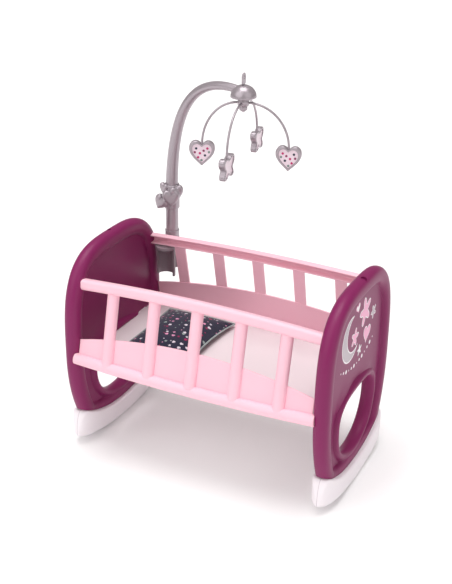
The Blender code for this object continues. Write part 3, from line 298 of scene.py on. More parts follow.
# %% Copies of the CAD solids
def merged_copy(node, name):
    """A copy of a CAD node with its loose triangles merged into one skin and flat areas cleaned."""
    made = placed(name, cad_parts[node].data.copy())
    shape = bmesh.new()
    shape.from_mesh(made.data)
    bmesh.ops.remove_doubles(shape, verts=shape.verts, dist=0.00001)
    bmesh.ops.dissolve_limit(shape, angle_limit=math.radians(1), verts=shape.verts, edges=shape.edges)
    shape.to_mesh(made.data)
    shape.free()
    return made


def remesh(target, voxel):
    """Give a piece an even net of faces, as wide as a voxel."""
    even = target.modifiers.new("Remesh", "REMESH")
    even.mode = "VOXEL"
    even.voxel_size = voxel


def softened(node, name, voxel, passes, puff=0):
    """A merged copy, remeshed finely, smoothed and puffed up, for forms that melt into each other."""
    made = merged_copy(node, name)
    remesh(made, voxel)
    smooth = made.modifiers.new("Smooth", "SMOOTH")
    smooth.iterations = passes
    if puff:
        swell = made.modifiers.new("Puff", "DISPLACE")
        swell.mid_level, swell.strength = 0, puff
    return baked(made)


def bevelled(node, name, width):
    """A merged copy with its sharp edges rounded, as a mould's are."""
    made = merged_copy(node, name)
    bevel = made.modifiers.new("Edges", "BEVEL")
    bevel.width = width
    bevel.segments = 3
    bevel.limit_method = "ANGLE"
    bevel.angle_limit = math.radians(30)
    return baked(made)


print("solids to copy from:", len(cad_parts))

# %% [markdown]
# ## Lines that the mouldings follow
# A panel's outline is half a superellipse above its widest place, then a taper, then a low foot.
# Superellipses are circles whose power is raised: the corners fill out and the sides flatten, which
# is how such moulded arches are drawn.


# %% Outline tools
def superellipse(half_width, height, power_across, power_up, steps):
    """Quarter of a superellipse, from the middle of its top to the end of its side."""
    turns = [math.pi / 2 * step / steps for step in range(steps + 1)]
    return [(half_width * math.sin(turn) ** (2 / power_across),
             height * max(math.cos(turn), 0) ** (2 / power_up)) for turn in turns]


def bezier(corners, steps):
    """Points along a cubic Bezier curve with four corners."""
    points = []
    for step in range(steps + 1):
        t = step / steps
        weights = ((1 - t) ** 3, 3 * t * (1 - t) ** 2, 3 * t * t * (1 - t), t ** 3)
        points.append(tuple(sum(weight * corner[axis] for weight, corner in zip(weights, corners))
                            for axis in range(2)))
    return points


def evenly(points, count):
    """Points at equal steps along a finely drawn line."""
    points = np.array(points, float)
    travelled = np.concatenate([[0], np.cumsum(np.linalg.norm(np.diff(points, axis=0), axis=1))])
    wanted = np.linspace(0, travelled[-1], count + 1)
    return np.stack([np.interp(wanted, travelled, points[:, axis]) for axis in range(points.shape[1])], 1)


def mirrored(half):
    """Close a half outline, from middle to middle, by its mirror image."""
    half = np.array(half, float)
    return np.concatenate([half, half[-2:0:-1] * (-1, 1)])


print("a rounded corner:", [round(value, 4) for value in superellipse(1, 1, 3, 3, 4)[2]])

# %% [markdown]
# ## End panels
# Each panel is one blown moulding: a fat rounded rim, a recessed web, and a D-shaped opening with
# a raised lip. It could be cut from a plate with Booleans, but the soft creases between rim, web and
# lip are what the eye reads as blow moulding. So the panel is drawn as a ring of sections. Each
# section runs from the opening to the rim, and its height is a smooth blend of rim, web and lip.

# %% Panel sizes
PANEL_SPACING = 0.4986
RIM_WIDTH, RIM_DEPTH, RIM_POWER = 0.0165, 0.0149, 2.22  # half width, half depth
WEB_DEPTH = 0.0048  # half depth
LIP_HALF, LIP_RISE, LIP_POWER = 0.0088, 0.0082, 2.2
CREASE = 0.0005  # how softly the forms melt into each other
WIDEST, TOP, FOOT = 0.2017, 0.3994, 0.045  # heights above the floor
TAPER_END, TAPER, TAPER_POWER = 0.064, 0.0294, 2.32  # height of its end, how far it goes in
ARCH_POWERS = (3.425, 3.42)
PANEL_WIDTH = 0.3238
HALF_WIDTH = PANEL_WIDTH / 2 - RIM_WIDTH  # from the middle to the rim's centre line
HOLE_TOP, HOLE_MIDDLE, HOLE_FOOT, HOLE_HALF = 0.1855, 0.141, 0.066, 0.0845  # heights, half width
HOLE_POWER, HOLE_FOOT_POWER, HOLE_ROUNDING = 3.0, 2.2, 0.0040
SEAT_RADIUS, SEAT_HEIGHT = 0.300, 0.0400
PANEL_STEPS, LINE_STEPS, WEB_POINTS = 480, 60, 5
# Where the sections have their points, closest where the form bends most: distances from the
# opening, and from the rim's centre line. Where the two lie nearer than CROWDED, all squeeze up.
NEAR = np.array((0, .00012, .0005, .0011, .0018, .0027, .0037, .0048, .0065, .0080, .0095, .0110,
                 .0125, .0140, .0155, .0165, .0176))
FAR = np.array((.026, .0215, .0190, .0175, .0160, .0150, .0140, .0130, .0120, .0108, .0094, .0078,
                .0060, .0040, .0020, 0))
CROWDED = 0.046
DIMPLE_RADIUS, DIMPLE_LENGTH, DIMPLE_LEAN = 0.0062, 0.008, math.radians(22)
DIMPLE_PLACE = (0.0055, 0.0075, TOP - 0.001)
print("panel:", TOP, "m high, points across a section:", len(NEAR) + WEB_POINTS + len(FAR))


# %% Outlines of a panel
def rim_line():
    """Centre line of the rim, closed."""
    arch = superellipse(HALF_WIDTH, TOP - RIM_WIDTH - WIDEST, *ARCH_POWERS, 200)
    fall = WIDEST - TAPER_END
    half = [(across, WIDEST + up) for across, up in arch]
    half += [(HALF_WIDTH - TAPER * (step / LINE_STEPS) ** TAPER_POWER, WIDEST - fall * step / LINE_STEPS)
             for step in range(1, LINE_STEPS + 1)]
    slope = Vector((-TAPER * TAPER_POWER, -fall)).normalized()
    corner = Vector(half[-1]) + slope * RIM_WIDTH
    half += bezier((half[-1], tuple(corner), (HALF_WIDTH / 2, FOOT), (0, FOOT)), LINE_STEPS)[1:]
    return mirrored(evenly(half, PANEL_STEPS // 2))


def hole_line():
    """Outline of the opening, finely drawn."""
    top = superellipse(HOLE_HALF, HOLE_TOP - HOLE_MIDDLE, HOLE_POWER, HOLE_POWER, LINE_STEPS)
    foot = superellipse(HOLE_HALF, HOLE_MIDDLE - HOLE_FOOT, HOLE_FOOT_POWER, HOLE_FOOT_POWER, LINE_STEPS)
    half = [(across, HOLE_MIDDLE + up) for across, up in top]
    half += [(across, HOLE_MIDDLE - up) for across, up in reversed(foot[:-1])]
    return mirrored(half)


def seat_height(across, radius=SEAT_RADIUS):
    """Height of the round seat on which a panel stands in its rocker."""
    return SEAT_HEIGHT + SEAT_RADIUS - np.sqrt(np.maximum(radius ** 2 - np.square(across), 0))


print("points round the opening:", len(hole_line()))


# %% Height of a panel's surface
def distance_to(points, line):
    """Distance of each point from a closed line."""
    start, end = line, np.roll(line, -1, axis=0)
    span = end - start
    offset = points[:, None, :] - start[None]
    share = np.clip((offset * span).sum(2) / (span ** 2).sum(1), 0, 1)
    return np.linalg.norm(offset - share[..., None] * span, axis=2).min(1)


def blend_up(first, second):
    """The larger of two heights, with a soft crease where they meet."""
    return CREASE * np.logaddexp(first / CREASE, second / CREASE)


def panel_height(points, rim, hole):
    """Half depth of the panel at points between the opening and the rim."""
    from_rim = np.clip(distance_to(points, rim) / RIM_WIDTH, 0, 1)
    from_hole = distance_to(points, hole)
    rim_part = RIM_DEPTH * (1 - from_rim ** RIM_POWER) ** (1 / RIM_POWER)
    over_lip = np.clip(np.abs(from_hole - LIP_HALF) / LIP_HALF, 0, 1)
    lip_part = WEB_DEPTH + LIP_RISE * (1 - over_lip ** LIP_POWER)
    over_edge = np.clip(1 - from_hole / HOLE_ROUNDING, 0, 1)
    lip_part -= HOLE_ROUNDING * (1 - np.sqrt(1 - over_edge ** 2))
    return np.minimum(blend_up(lip_part, rim_part), RIM_DEPTH)


print("half depth on the rim's centre line:", panel_height(rim_line()[:1], rim_line(), hole_line()).round(4))


# %% Panel skin
def hole_edge(rim, hole, middle):
    """The point of the opening that each point of the rim looks at, seen from the middle."""
    angles = np.unwrap(np.arctan2(*(hole - middle).T))
    order = np.argsort(angles)
    low, whole = angles[order][0], 2 * math.pi
    turns = low + np.mod(np.arctan2(*(rim - middle).T) - low, whole)
    return np.stack([np.interp(turns, np.append(angles[order], low + whole),
                               np.append(hole[order, axis], hole[order[0], axis])) for axis in (0, 1)], 1)


def end_panel(name):
    """One end panel, standing across the X axis at its own middle plane."""
    rim, hole = rim_line(), hole_line()
    middle = np.array((0, (HOLE_TOP + HOLE_FOOT) / 2))
    edge = hole_edge(rim, hole, middle)
    reach = np.linalg.norm(rim - edge, axis=1)[:, None]
    squeeze = np.minimum(1, reach / CROWDED)
    between = np.linspace(0, 1, WEB_POINTS + 2)[1:-1]
    web = NEAR[-1] * squeeze + (reach - (NEAR[-1] + FAR[0]) * squeeze) * between
    along = np.concatenate([NEAR * squeeze, web, reach - FAR * squeeze], axis=1) / reach
    tangent = np.roll(rim, -1, axis=0) - np.roll(rim, 1, axis=0)
    normal = np.stack([-tangent[:, 1], tangent[:, 0]], 1) / np.linalg.norm(tangent, axis=1)[:, None]
    normal *= np.sign((normal * (rim - middle)).sum(1))[:, None]
    outer = [(RIM_WIDTH * math.sin(turn) ** (2 / RIM_POWER), RIM_DEPTH * math.cos(turn) ** (2 / RIM_POWER))
             for turn in np.linspace(0, math.pi / 2, 12)[1:-1]]
    columns = []
    for share in along.T:
        flat = edge + (rim - edge) * share[:, None]
        columns.append((flat, panel_height(flat, rim, hole)))
    columns += [(rim + normal * across, np.full(len(rim), depth)) for across, depth in outer]
    front = [np.column_stack([depth, flat]) for flat, depth in columns]
    crest = np.column_stack([np.zeros(len(rim)), rim + normal * RIM_WIDTH])
    back = [side * (-1, 1, 1) for side in reversed(front)]
    wall = np.column_stack([np.zeros(len(rim)), edge])
    rings = np.stack(front + [crest] + back + [wall], axis=1)
    rings[..., 2] = np.maximum(rings[..., 2], seat_height(rings[..., 1]))
    return skin(name, [list(map(tuple, ring)) for ring in rings], closed=True)


def dimpled(panel):
    """Cut the small round dimple into the crest of a panel."""
    shape = bmesh.new()
    bmesh.ops.create_cone(shape, cap_ends=True, segments=40, radius1=DIMPLE_RADIUS, radius2=DIMPLE_RADIUS,
                          depth=DIMPLE_LENGTH)
    cutter = as_object(shape, "dimple_cutter")
    cutter.rotation_euler = (0, DIMPLE_LEAN, 0)
    cutter.location = DIMPLE_PLACE
    cut = panel.modifiers.new("Dimple", "BOOLEAN")
    cut.object = cutter
    cut.solver = "EXACT"
    baked(panel)
    bpy.data.objects.remove(cutter, do_unlink=True)
    return panel


print("rings round a panel:", PANEL_STEPS)


# %% Both panels
for end, label in ((-1, "head"), (1, "foot")):
    panel = dimpled(end_panel(f"{label}_end_panel"))
    turn = Matrix.Rotation(0 if end > 0 else math.pi, 4, "Z")
    panel.data.transform(Matrix.Translation((end * PANEL_SPACING / 2, MIDDLE_Y, 0)) @ turn)
    finish_piece(panel, "cradle", PLUM, [f"{label}_panel"], 40)

# %% [markdown]
# ## Rockers
# The rockers are hollow white mouldings like little boats: a rolling keel, swept-up noses that grow
# thinner, and a round seat for the panel. Each is a skin over many sections along its length. The
# two halves of the mould meet at the middle plane, which leaves a hair-fine parting line.

# %% Rocker sizes
ROCKER_RADIUS, ROCKER_FLAT, ROCKER_DEPTH = 0.515, 0.0160, 0.0240  # rolling face, half thickness
ROCKER_HALF, NOSE, NOSE_HEIGHT, NOSE_POWER = 0.151, 0.042, 0.0250, 2.5
THINNING = 0.060  # length over which an end grows thinner
HORN, HORN_TOP = 0.0155, 0.0700
ROCKER_ROUNDING, TOP_ROUNDING, ROUNDING_SHARE = 0.0120, 0.0050, 0.95
SEAT_GAP = 0.0003
PARTING_HALF_WIDTH, PARTING_DEPTH = 0.0003, 0.0002
print("rocker:", 2 * ROCKER_HALF, "m long")


# %% Rocker shape
def end_share(place, length):
    """How much of the rocker's thickness is left where its end rounds off."""
    into = max(place - (ROCKER_HALF - length), 0) / length
    return math.sqrt(max(1 - into ** 2, 0))


def rocker_section(along, steps=8):
    """Section of a rocker at a place along it: a rounded box that shrinks towards the end."""
    place, arc_end = abs(along), ROCKER_HALF - NOSE
    level = math.sqrt(ROCKER_RADIUS ** 2 - (ROCKER_FLAT / 2) ** 2)
    low = max(level - math.sqrt(ROCKER_RADIUS ** 2 - min(place, arc_end) ** 2), 0)
    if place > arc_end:
        share = 1 - ((place - arc_end) / NOSE) ** NOSE_POWER
        low = NOSE_HEIGHT - (NOSE_HEIGHT - low) * share ** (1 / NOSE_POWER)
    high = NOSE_HEIGHT + (HORN_TOP - NOSE_HEIGHT) * end_share(place, HORN)
    high = min(high, float(seat_height(along, SEAT_RADIUS + SEAT_GAP)))
    depth = ROCKER_DEPTH * end_share(place, THINNING)
    radius = min(ROCKER_ROUNDING, depth * ROUNDING_SHARE, (high - low) / 2 * ROUNDING_SHARE)
    top_radius = min(radius, TOP_ROUNDING)
    ring = []
    for quarter, (across, up) in enumerate(((1, 1), (-1, 1), (-1, -1), (1, -1))):
        corner = top_radius if up > 0 else radius
        for step in range(steps + 1):
            turn = math.pi / 2 * (quarter + step / steps)
            ring.append((across * (depth - corner) + corner * math.cos(turn), along,
                         (high - corner if up > 0 else low + corner) + corner * math.sin(turn)))
    return ring


def rocker(name):
    """One rocker, along the Y axis."""
    arc_end = ROCKER_HALF - NOSE
    half = list(np.linspace(0, arc_end, 40))
    half += [arc_end + NOSE * math.sin(turn) for turn in np.radians(np.linspace(3, 88.5, 32))]
    stations = [-along for along in reversed(half[1:])] + half
    return skin(name, [rocker_section(along) for along in stations])


print("points in a rocker's section:", len(rocker_section(0)))


# %% Parting line
def parted(base, middle):
    """A copy of a plastic with a fine parting line where the two halves of the mould met."""
    made = base.copy()
    made.name = base.name + "_parting_line"
    tree = made.node_tree
    shader = tree.nodes["Principled BSDF"]
    tint, peel = (shader.inputs[socket].links[0].from_socket for socket in ("Base Color", "Normal"))
    place = add(tree, "ShaderNodeSeparateXYZ", {0: place_on_piece(tree)})
    away = maths(tree, "SUBTRACT", maths(tree, "ABSOLUTE", place.outputs["X"]), middle)
    line = add(tree, "ShaderNodeMapRange", {"Value": maths(tree, "ABSOLUTE", away),
                                            "From Max": 2 * PARTING_HALF_WIDTH}).outputs["Result"]
    feed(shader, Normal=relief(tree, line, PARTING_DEPTH, Normal=peel),
         Base_Color=blend(tree, line, colour("#b9a9b4"), tint))
    return made


print("parting line:", 2 * PARTING_HALF_WIDTH * 1000, "mm wide")


# %% Both rockers
WHITE_PARTED = parted(WHITE, PANEL_SPACING / 2)
for end, label in ((-1, "head"), (1, "foot")):
    made = rocker(f"{label}_rocking_foot")
    made.data.transform(Matrix.Translation((end * PANEL_SPACING / 2, MIDDLE_Y, 0)))
    finish_piece(made, "cradle", WHITE_PARTED, [f"{label}_rocker"], 50)

# %% [markdown]
# ## Geometry Nodes: running a tree
# Slats and dots repeat, and rails, rods and piping follow a path. Geometry Nodes make such things
# from a few named sizes. These functions start a tree with named inputs, and run it on a
# base mesh: the inputs are set by the identifiers of their sockets, the result is kept as a plain
# mesh, and the modifier is gone again.


# %% Tree tools
SOCKETS = {float: "NodeSocketFloat", int: "NodeSocketInt"}


def new_tree(name, **sizes):
    """Start a Geometry Nodes tree with a material input and named sizes."""
    tree = bpy.data.node_groups.new(name, "GeometryNodeTree")
    new_socket = tree.interface.new_socket
    new_socket("Geometry", in_out="INPUT", socket_type="NodeSocketGeometry")
    new_socket("Geometry", in_out="OUTPUT", socket_type="NodeSocketGeometry")
    new_socket("Material", in_out="INPUT", socket_type="NodeSocketMaterial")
    for label, value in sizes.items():
        new_socket(label, in_out="INPUT", socket_type=SOCKETS[type(value)]).default_value = value
    return tree, add(tree, "NodeGroupInput").outputs


def end_tree(tree, geometry, material):
    """End a tree as the export needs it: real geometry, with its material set."""
    real = add(tree, "GeometryNodeRealizeInstances", {"Geometry": geometry})
    coated = add(tree, "GeometryNodeSetMaterial", {"Geometry": real.outputs[0], "Material": material})
    add(tree, "NodeGroupOutput", {0: coated.outputs[0]})


def vector(tree, **parts):
    """A vector of the given parts, and zero where none is given."""
    return add(tree, "ShaderNodeCombineXYZ", parts).outputs[0]


def grown(name, base, tree, material, **values):
    """Run a tree on a base mesh, and return the result as a plain object."""
    source = placed(name + "_base", base)
    modifier = source.modifiers.new("Grow", "NODES")
    modifier.node_group = tree
    for socket in tree.interface.items_tree:
        if socket.name in values:
            modifier[socket.identifier] = values[socket.name]
        elif socket.name == "Material":
            modifier[socket.identifier] = material
    mesh = shaped_mesh(source)
    bpy.data.objects.remove(source, do_unlink=True)
    return placed(name, mesh)


print("kinds of size that a tree takes:", [kind.__name__ for kind in SOCKETS])


# %% Lines for the trees
def line_mesh(name, points, widths=None, closed=False):
    """A mesh of points and edges, with a width at each point, for a tree to work along."""
    mesh = bpy.data.meshes.new(name)
    count = len(points)
    edges = [(index, (index + 1) % count) for index in range(count if closed else count - 1)]
    mesh.from_pydata([tuple(point) for point in points], edges, [])
    if widths is not None:
        values = list(np.full(count, widths, float))
        mesh.attributes.new("width", "FLOAT", "POINT").data.foreach_set("value", values)
    return mesh


# %% [markdown]
# ## Slatted sides
# A side is a bowed top rail with a channel behind it, a skirt with an arched edge, a bead along the
# bottom and five half-round slats. The rail and the bead are sections swept along a bowed line, and
# the slats are one slat repeated at a fixed pitch. A side is drawn upright and then leaned inwards.

# %% Side sizes
LEAN, SIDE_REACH, SIDE_BASE = math.radians(13.2), 0.1545, 0.2030
RAIL_LENGTH, RAIL_UP, RAIL_HEIGHT, RAIL_DEPTH, RAIL_ROUNDING = 0.4680, 0.1264, 0.0205, 0.0150, 0.0070
RAIL_BOW, RAIL_WALL, RAIL_EDGE = 0.0070, 0.0028, 0.0008
RUN_IN, BEAD_RUN_IN = 0.0040, 0.0070  # how far the bars run into the soft rim of a panel
BEAD_LENGTH, BEAD_DROP, BEAD_RADIUS, BEAD_DEPTH, BEAD_BOW = 0.4660, 0.0065, 0.0110, 0.0100, 0.0060
SKIRT_LENGTH, SKIRT_THICKNESS, SKIRT_END, SKIRT_ARCH = 0.4680, 0.0030, 0.0310, 0.0270
SKIRT_EDGE, SKIRT_SQUEEZE = 0.0006, 0.0030  # rounding of its edges, share that its ends give way
SLAT_COUNT, SLAT_PITCH, SLAT_HALF, SLAT_DEPTH, SLAT_BACK = 5, 0.0856, 0.0115, 0.0100, 0.0015
print("side:", SLAT_COUNT, "slats,", SLAT_PITCH, "m apart")

# %% Swept bar tree
bar_tree, given = new_tree("bowed_bar", Length=0.4, Bow=0.0, Rise=0.0)
half_length = maths(bar_tree, "MULTIPLY", given["Length"], 0.5)
path = add(bar_tree, "GeometryNodeCurvePrimitiveLine", {
    "Start": vector(bar_tree, X=maths(bar_tree, "MULTIPLY", half_length, -1.0)),
    "End": vector(bar_tree, X=half_length)})
path = add(bar_tree, "GeometryNodeResampleCurve", {"Curve": path.outputs[0], "Count": 49})
spot = add(bar_tree, "ShaderNodeSeparateXYZ", {0: add(bar_tree, "GeometryNodeInputPosition").outputs[0]})
share = maths(bar_tree, "DIVIDE", spot.outputs["X"], half_length)
fall = maths(bar_tree, "SUBTRACT", 1.0, maths(bar_tree, "MULTIPLY", share, share))
lift = maths(bar_tree, "MULTIPLY_ADD", fall, given["Bow"], given["Rise"])
path = add(bar_tree, "GeometryNodeSetPosition", {"Geometry": path.outputs[0],
                                                 "Offset": vector(bar_tree, Z=lift)})
path = add(bar_tree, "GeometryNodeSetCurveNormal", {"Curve": path.outputs[0]}, mode="Z_UP")
section = add(bar_tree, "GeometryNodeMeshToCurve", {"Mesh": given["Geometry"]})
bar = add(bar_tree, "GeometryNodeCurveToMesh", {"Curve": path.outputs[0], "Fill Caps": True,
                                                "Profile Curve": section.outputs[0]})
end_tree(bar_tree, bar.outputs[0], given["Material"])
print("nodes in the bar tree:", len(bar_tree.nodes))

# %% Repeating tree
row_tree, given = new_tree("row_along_x", Count=5, Pitch=0.08)
gaps = maths(row_tree, "ADD", given["Count"], -1.0)
first = maths(row_tree, "MULTIPLY", maths(row_tree, "MULTIPLY", gaps, -0.5), given["Pitch"])
row = add(row_tree, "GeometryNodeMeshLine", {
    "Count": given["Count"], "Offset": vector(row_tree, X=given["Pitch"]),
    "Start Location": vector(row_tree, X=first)})
copies = add(row_tree, "GeometryNodeInstanceOnPoints", {"Points": row.outputs[0],
                                                        "Instance": given["Geometry"]})
end_tree(row_tree, copies.outputs[0], given["Material"])
print("nodes in the row tree:", len(row_tree.nodes))


# %% Side sections
def section_mesh(name, points):
    """A closed section for the bar tree, given as how far out and how far up each point is."""
    return line_mesh(name, [(out, -up, 0) for out, up in points], closed=True)


def rounded_corner(out, up, radius, first_turn, steps=8):
    """Points round a corner of the given middle, through a quarter turn clockwise."""
    turns = [math.radians(first_turn - 90 * step / steps) for step in range(steps + 1)]
    return [(out + radius * math.cos(turn), up + radius * math.sin(turn)) for turn in turns]


def rail_section():
    """The rail: rounded outside, with a channel open towards the bed."""
    middle, inner = RAIL_DEPTH - SKIRT_THICKNESS - RAIL_ROUNDING, RAIL_ROUNDING - RAIL_WALL
    low, high = RAIL_ROUNDING, RAIL_HEIGHT - RAIL_ROUNDING
    outside = rounded_corner(middle, high, RAIL_ROUNDING, 90) + rounded_corner(middle, low, RAIL_ROUNDING, 0)
    channel = rounded_corner(middle, low, inner, 0)[::-1] + rounded_corner(middle, high, inner, 90)[::-1]
    lip = [(RAIL_EDGE - SKIRT_THICKNESS, 0), (-SKIRT_THICKNESS, RAIL_EDGE),
           (-SKIRT_THICKNESS, RAIL_WALL - RAIL_EDGE), (RAIL_EDGE - SKIRT_THICKNESS, RAIL_WALL)]
    return outside + lip + channel + [(out, up + RAIL_HEIGHT - RAIL_WALL) for out, up in lip]


def half_round(half_width, depth, back, steps=20):
    """Section of a slat or bead: half an ellipse on a flat back."""
    turns = [math.pi * step / steps for step in range(steps + 1)]
    curve = [(half_width * math.cos(turn), depth * math.sin(turn)) for turn in turns]
    return curve + [(-half_width, -back), (half_width, -back)]


def bowed(along, length):
    """Share of a bow that is reached at a place along it."""
    return 1 - (2 * along / length) ** 2


print("points in the rail's section:", len(rail_section()))


# %% Side shape
def slats(name):
    """The row of slats, from the bead up into the bowed rail."""
    ring = [(across, -depth) for across, depth in half_round(SLAT_HALF, SLAT_DEPTH, SLAT_BACK)]
    slat = skin("slat", [[(across, deep, height) for across, deep in ring]
                         for height in (-BEAD_DROP, RAIL_UP + RAIL_WALL / 2)])
    made = grown(name, slat.data, row_tree, PINK, Count=SLAT_COUNT, Pitch=SLAT_PITCH)
    for vertex in made.data.vertices:
        if vertex.co.z > 0:
            vertex.co.z += RAIL_BOW * bowed(round(vertex.co.x / SLAT_PITCH) * SLAT_PITCH, RAIL_LENGTH)
    bpy.data.objects.remove(slat, do_unlink=True)
    return made


def skirt(name):
    """The wall under the slats, arched on top and bowed along the bottom."""
    places = np.linspace(0, SKIRT_LENGTH / 2, 25)
    half = [(x, SKIRT_END + SKIRT_ARCH * bowed(x, SKIRT_LENGTH)) for x in places]
    half += [(x, -BEAD_DROP - BEAD_RADIUS / 2 - BEAD_BOW * bowed(x, SKIRT_LENGTH)) for x in places[::-1]]
    rings = []
    for deep, edge in ((0, 1), (SKIRT_EDGE, 0), (SKIRT_THICKNESS - SKIRT_EDGE, 0), (SKIRT_THICKNESS, 1)):
        rings.append([(x * (1 - edge * SKIRT_SQUEEZE), deep, z - edge * math.copysign(SKIRT_EDGE, z))
                      for x, z in mirrored(half)])
    return skin(name, rings)


def side(name):
    """One side, upright, with the bed on its +Y side."""
    rail = grown(name + "_rail", section_mesh("rail_section", rail_section()), bar_tree, PINK,
                 Length=RAIL_LENGTH + 2 * RUN_IN, Bow=RAIL_BOW, Rise=RAIL_UP)
    bead_section = [(depth, across) for across, depth in half_round(BEAD_RADIUS, BEAD_DEPTH, SLAT_BACK)]
    bead = grown(name + "_bead", section_mesh("bead_section", bead_section), bar_tree, PINK,
                 Length=BEAD_LENGTH + 2 * BEAD_RUN_IN, Bow=-BEAD_BOW, Rise=-BEAD_DROP)
    row, wall = slats(name + "_slats"), skirt(name + "_skirt")
    bpy.ops.object.select_all(action="DESELECT")
    for piece in (rail, bead, row, wall):
        piece.select_set(True)
    bpy.context.view_layer.objects.active = wall
    bpy.ops.object.join()
    wall.name = name
    return wall


print("the bow halfway to an end:", bowed(RAIL_LENGTH / 4, RAIL_LENGTH))


# %% Both sides
for label, sign, turn in (("front", -1, 0), ("back", 1, math.pi)):
    made = side(f"{label}_slatted_side")
    lean = Matrix.Rotation(turn, 4, "Z") @ Matrix.Rotation(-LEAN, 4, "X")
    made.data.transform(Matrix.Translation((0, MIDDLE_Y + sign * SIDE_REACH, SIDE_BASE)) @ lean)
    finish_piece(made, "cradle", PINK, [f"{label}_side"], 38)

# %% [markdown]
# ## Bed base and bracket
# The bed base is a thin ribbed plate, and the bracket, collar and top ring are small mouldings.
# Their solids are already the right shape, but their edges are knife sharp. A mould always has a
# small radius, so a merged copy of the first three gets bevelled edges, which catch the light as a
# thin line. The ring is so thin that it is remeshed and smoothed instead.

# %% Bevelled mouldings
TONGUE_LENGTH, TONGUE_GAP = 0.003, 0.0012
BASE_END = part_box("bed_base")[1].x
MOULDINGS = (
    # CAD piece, name here, radius of its edges, material, slot
    ("bed_base", "bed_base_plate", 0.0006, BASE_WHITE, "white_plastic"),
    # the bracket's grey is darkened as painted shade
    ("mobile_bracket", "post_bracket", 0.0007, CLIP_PAINTED_SHADE, "silver_plastic"),
    ("post_collar", "post_socket_collar", 0.0006, PEARL, "silver_plastic"),
)


def lengthen_tongues(plate):
    """Carry the tongues at the ends of the bed base right up to the panels' webs."""
    reach = PANEL_SPACING / 2 - WEB_DEPTH - TONGUE_GAP - BASE_END
    for vertex in plate.data.vertices:
        if abs(vertex.co.x) > BASE_END - TONGUE_LENGTH:
            vertex.co.x += math.copysign(reach, vertex.co.x)


for node, name, width, material, slot in MOULDINGS:
    made = bevelled(node, name, width)
    if node == "bed_base":
        lengthen_tongues(made)
    finish_piece(made, "cradle", material, [node])
made = softened("top_ring", "hanging_loop", voxel=0.0004, passes=6)
finish_piece(made, "mobile_arm", PEARL, ["top_ring"], 60)

# %% [markdown]
# ## Post, arm and rods
# The mobile's post goes straight up and the arm bends over to the dome, growing thinner. Four thin
# rods bend down from the hub. Each is a round section along a line, so one tree makes them all: it
# turns a line of points into a curve and sweeps a circle along it, scaled by the width at each point.

# %% Round bar tree
tube_tree, given = new_tree("round_bar", Radius=0.01, Sides=48)
line = add(tube_tree, "GeometryNodeMeshToCurve", {"Mesh": given["Geometry"]})
ring = add(tube_tree, "GeometryNodeCurvePrimitiveCircle", {"Resolution": given["Sides"],
                                                           "Radius": given["Radius"]})
width = add(tube_tree, "GeometryNodeInputNamedAttribute", {"Name": "width"}, data_type="FLOAT")
bar = add(tube_tree, "GeometryNodeCurveToMesh", {"Curve": line.outputs[0], "Profile Curve": ring.outputs[0],
                                                 "Scale": width.outputs[0], "Fill Caps": True})
end_tree(tube_tree, bar.outputs[0], given["Material"])
print("nodes in the round bar's tree:", len(tube_tree.nodes))

# %% Post and arm
POST_X, POST_Y, POST_RADIUS = -0.2075, 0.1590 + MIDDLE_Y, 0.0127
POST_FOOT, POST_TOP, ARM_FOOT = 0.3002, 0.4197, 0.4200
AXIS_X, AXIS_Y = -0.0360, 0.1220 + MIDDLE_Y
ARM_TIP, ARM_RISE, ARM_REACH, ARM_SLOPE, ARM_TIP_RADIUS = 0.6644, 0.1361, 0.1354, math.radians(7.4), 0.0074
INTO_DOME = 0.0130  # how far the arm goes on inside the dome
DOME_RADIUS, DOME_FOOT, DOME_HEIGHT = 0.0243, 0.6536, 0.0224
post_line = line_mesh("post_line", [(POST_X, POST_Y, height) for height in (POST_FOOT, POST_TOP)], 1)
post = grown("straight_post", post_line, tube_tree, PEARL, Radius=POST_RADIUS)
finish_piece(post, "cradle", PEARL, ["lower_post"], 50)
towards = Vector((AXIS_X - POST_X, AXIS_Y - POST_Y, 0))
run = towards.length - DOME_RADIUS + INTO_DOME
towards.normalize()
corners = ((0, ARM_FOOT), (0, ARM_FOOT + ARM_RISE),
           (run - ARM_REACH, ARM_TIP + ARM_REACH * math.tan(ARM_SLOPE)), (run, ARM_TIP))
points = [(POST_X + towards.x * along, POST_Y + towards.y * along, up)
          for along, up in evenly(bezier(corners, 300), 72)]
arm_line = line_mesh("arm_line", points, np.linspace(1, ARM_TIP_RADIUS / POST_RADIUS, len(points)))
arm = grown("bent_arm", arm_line, tube_tree, PEARL, Radius=POST_RADIUS)
finish_piece(arm, "mobile_arm", PEARL, ["curved_arm"], 50)

# %% [markdown]
# ## Dome, hub and nose
# These three are turned forms: a half profile swung once round the mobile's axis. The dome is
# hollow like a bell, so its profile runs down the outside and back up the inside.


# %% Turned forms
def turned(name, profile, steps=64):
    """Swing a half profile round the mobile's axis."""
    turns = [2 * math.pi * step / steps for step in range(steps)]
    return skin(name, [[(AXIS_X + radius * math.cos(turn), AXIS_Y + radius * math.sin(turn), height)
                        for turn in turns] for radius, height in profile])


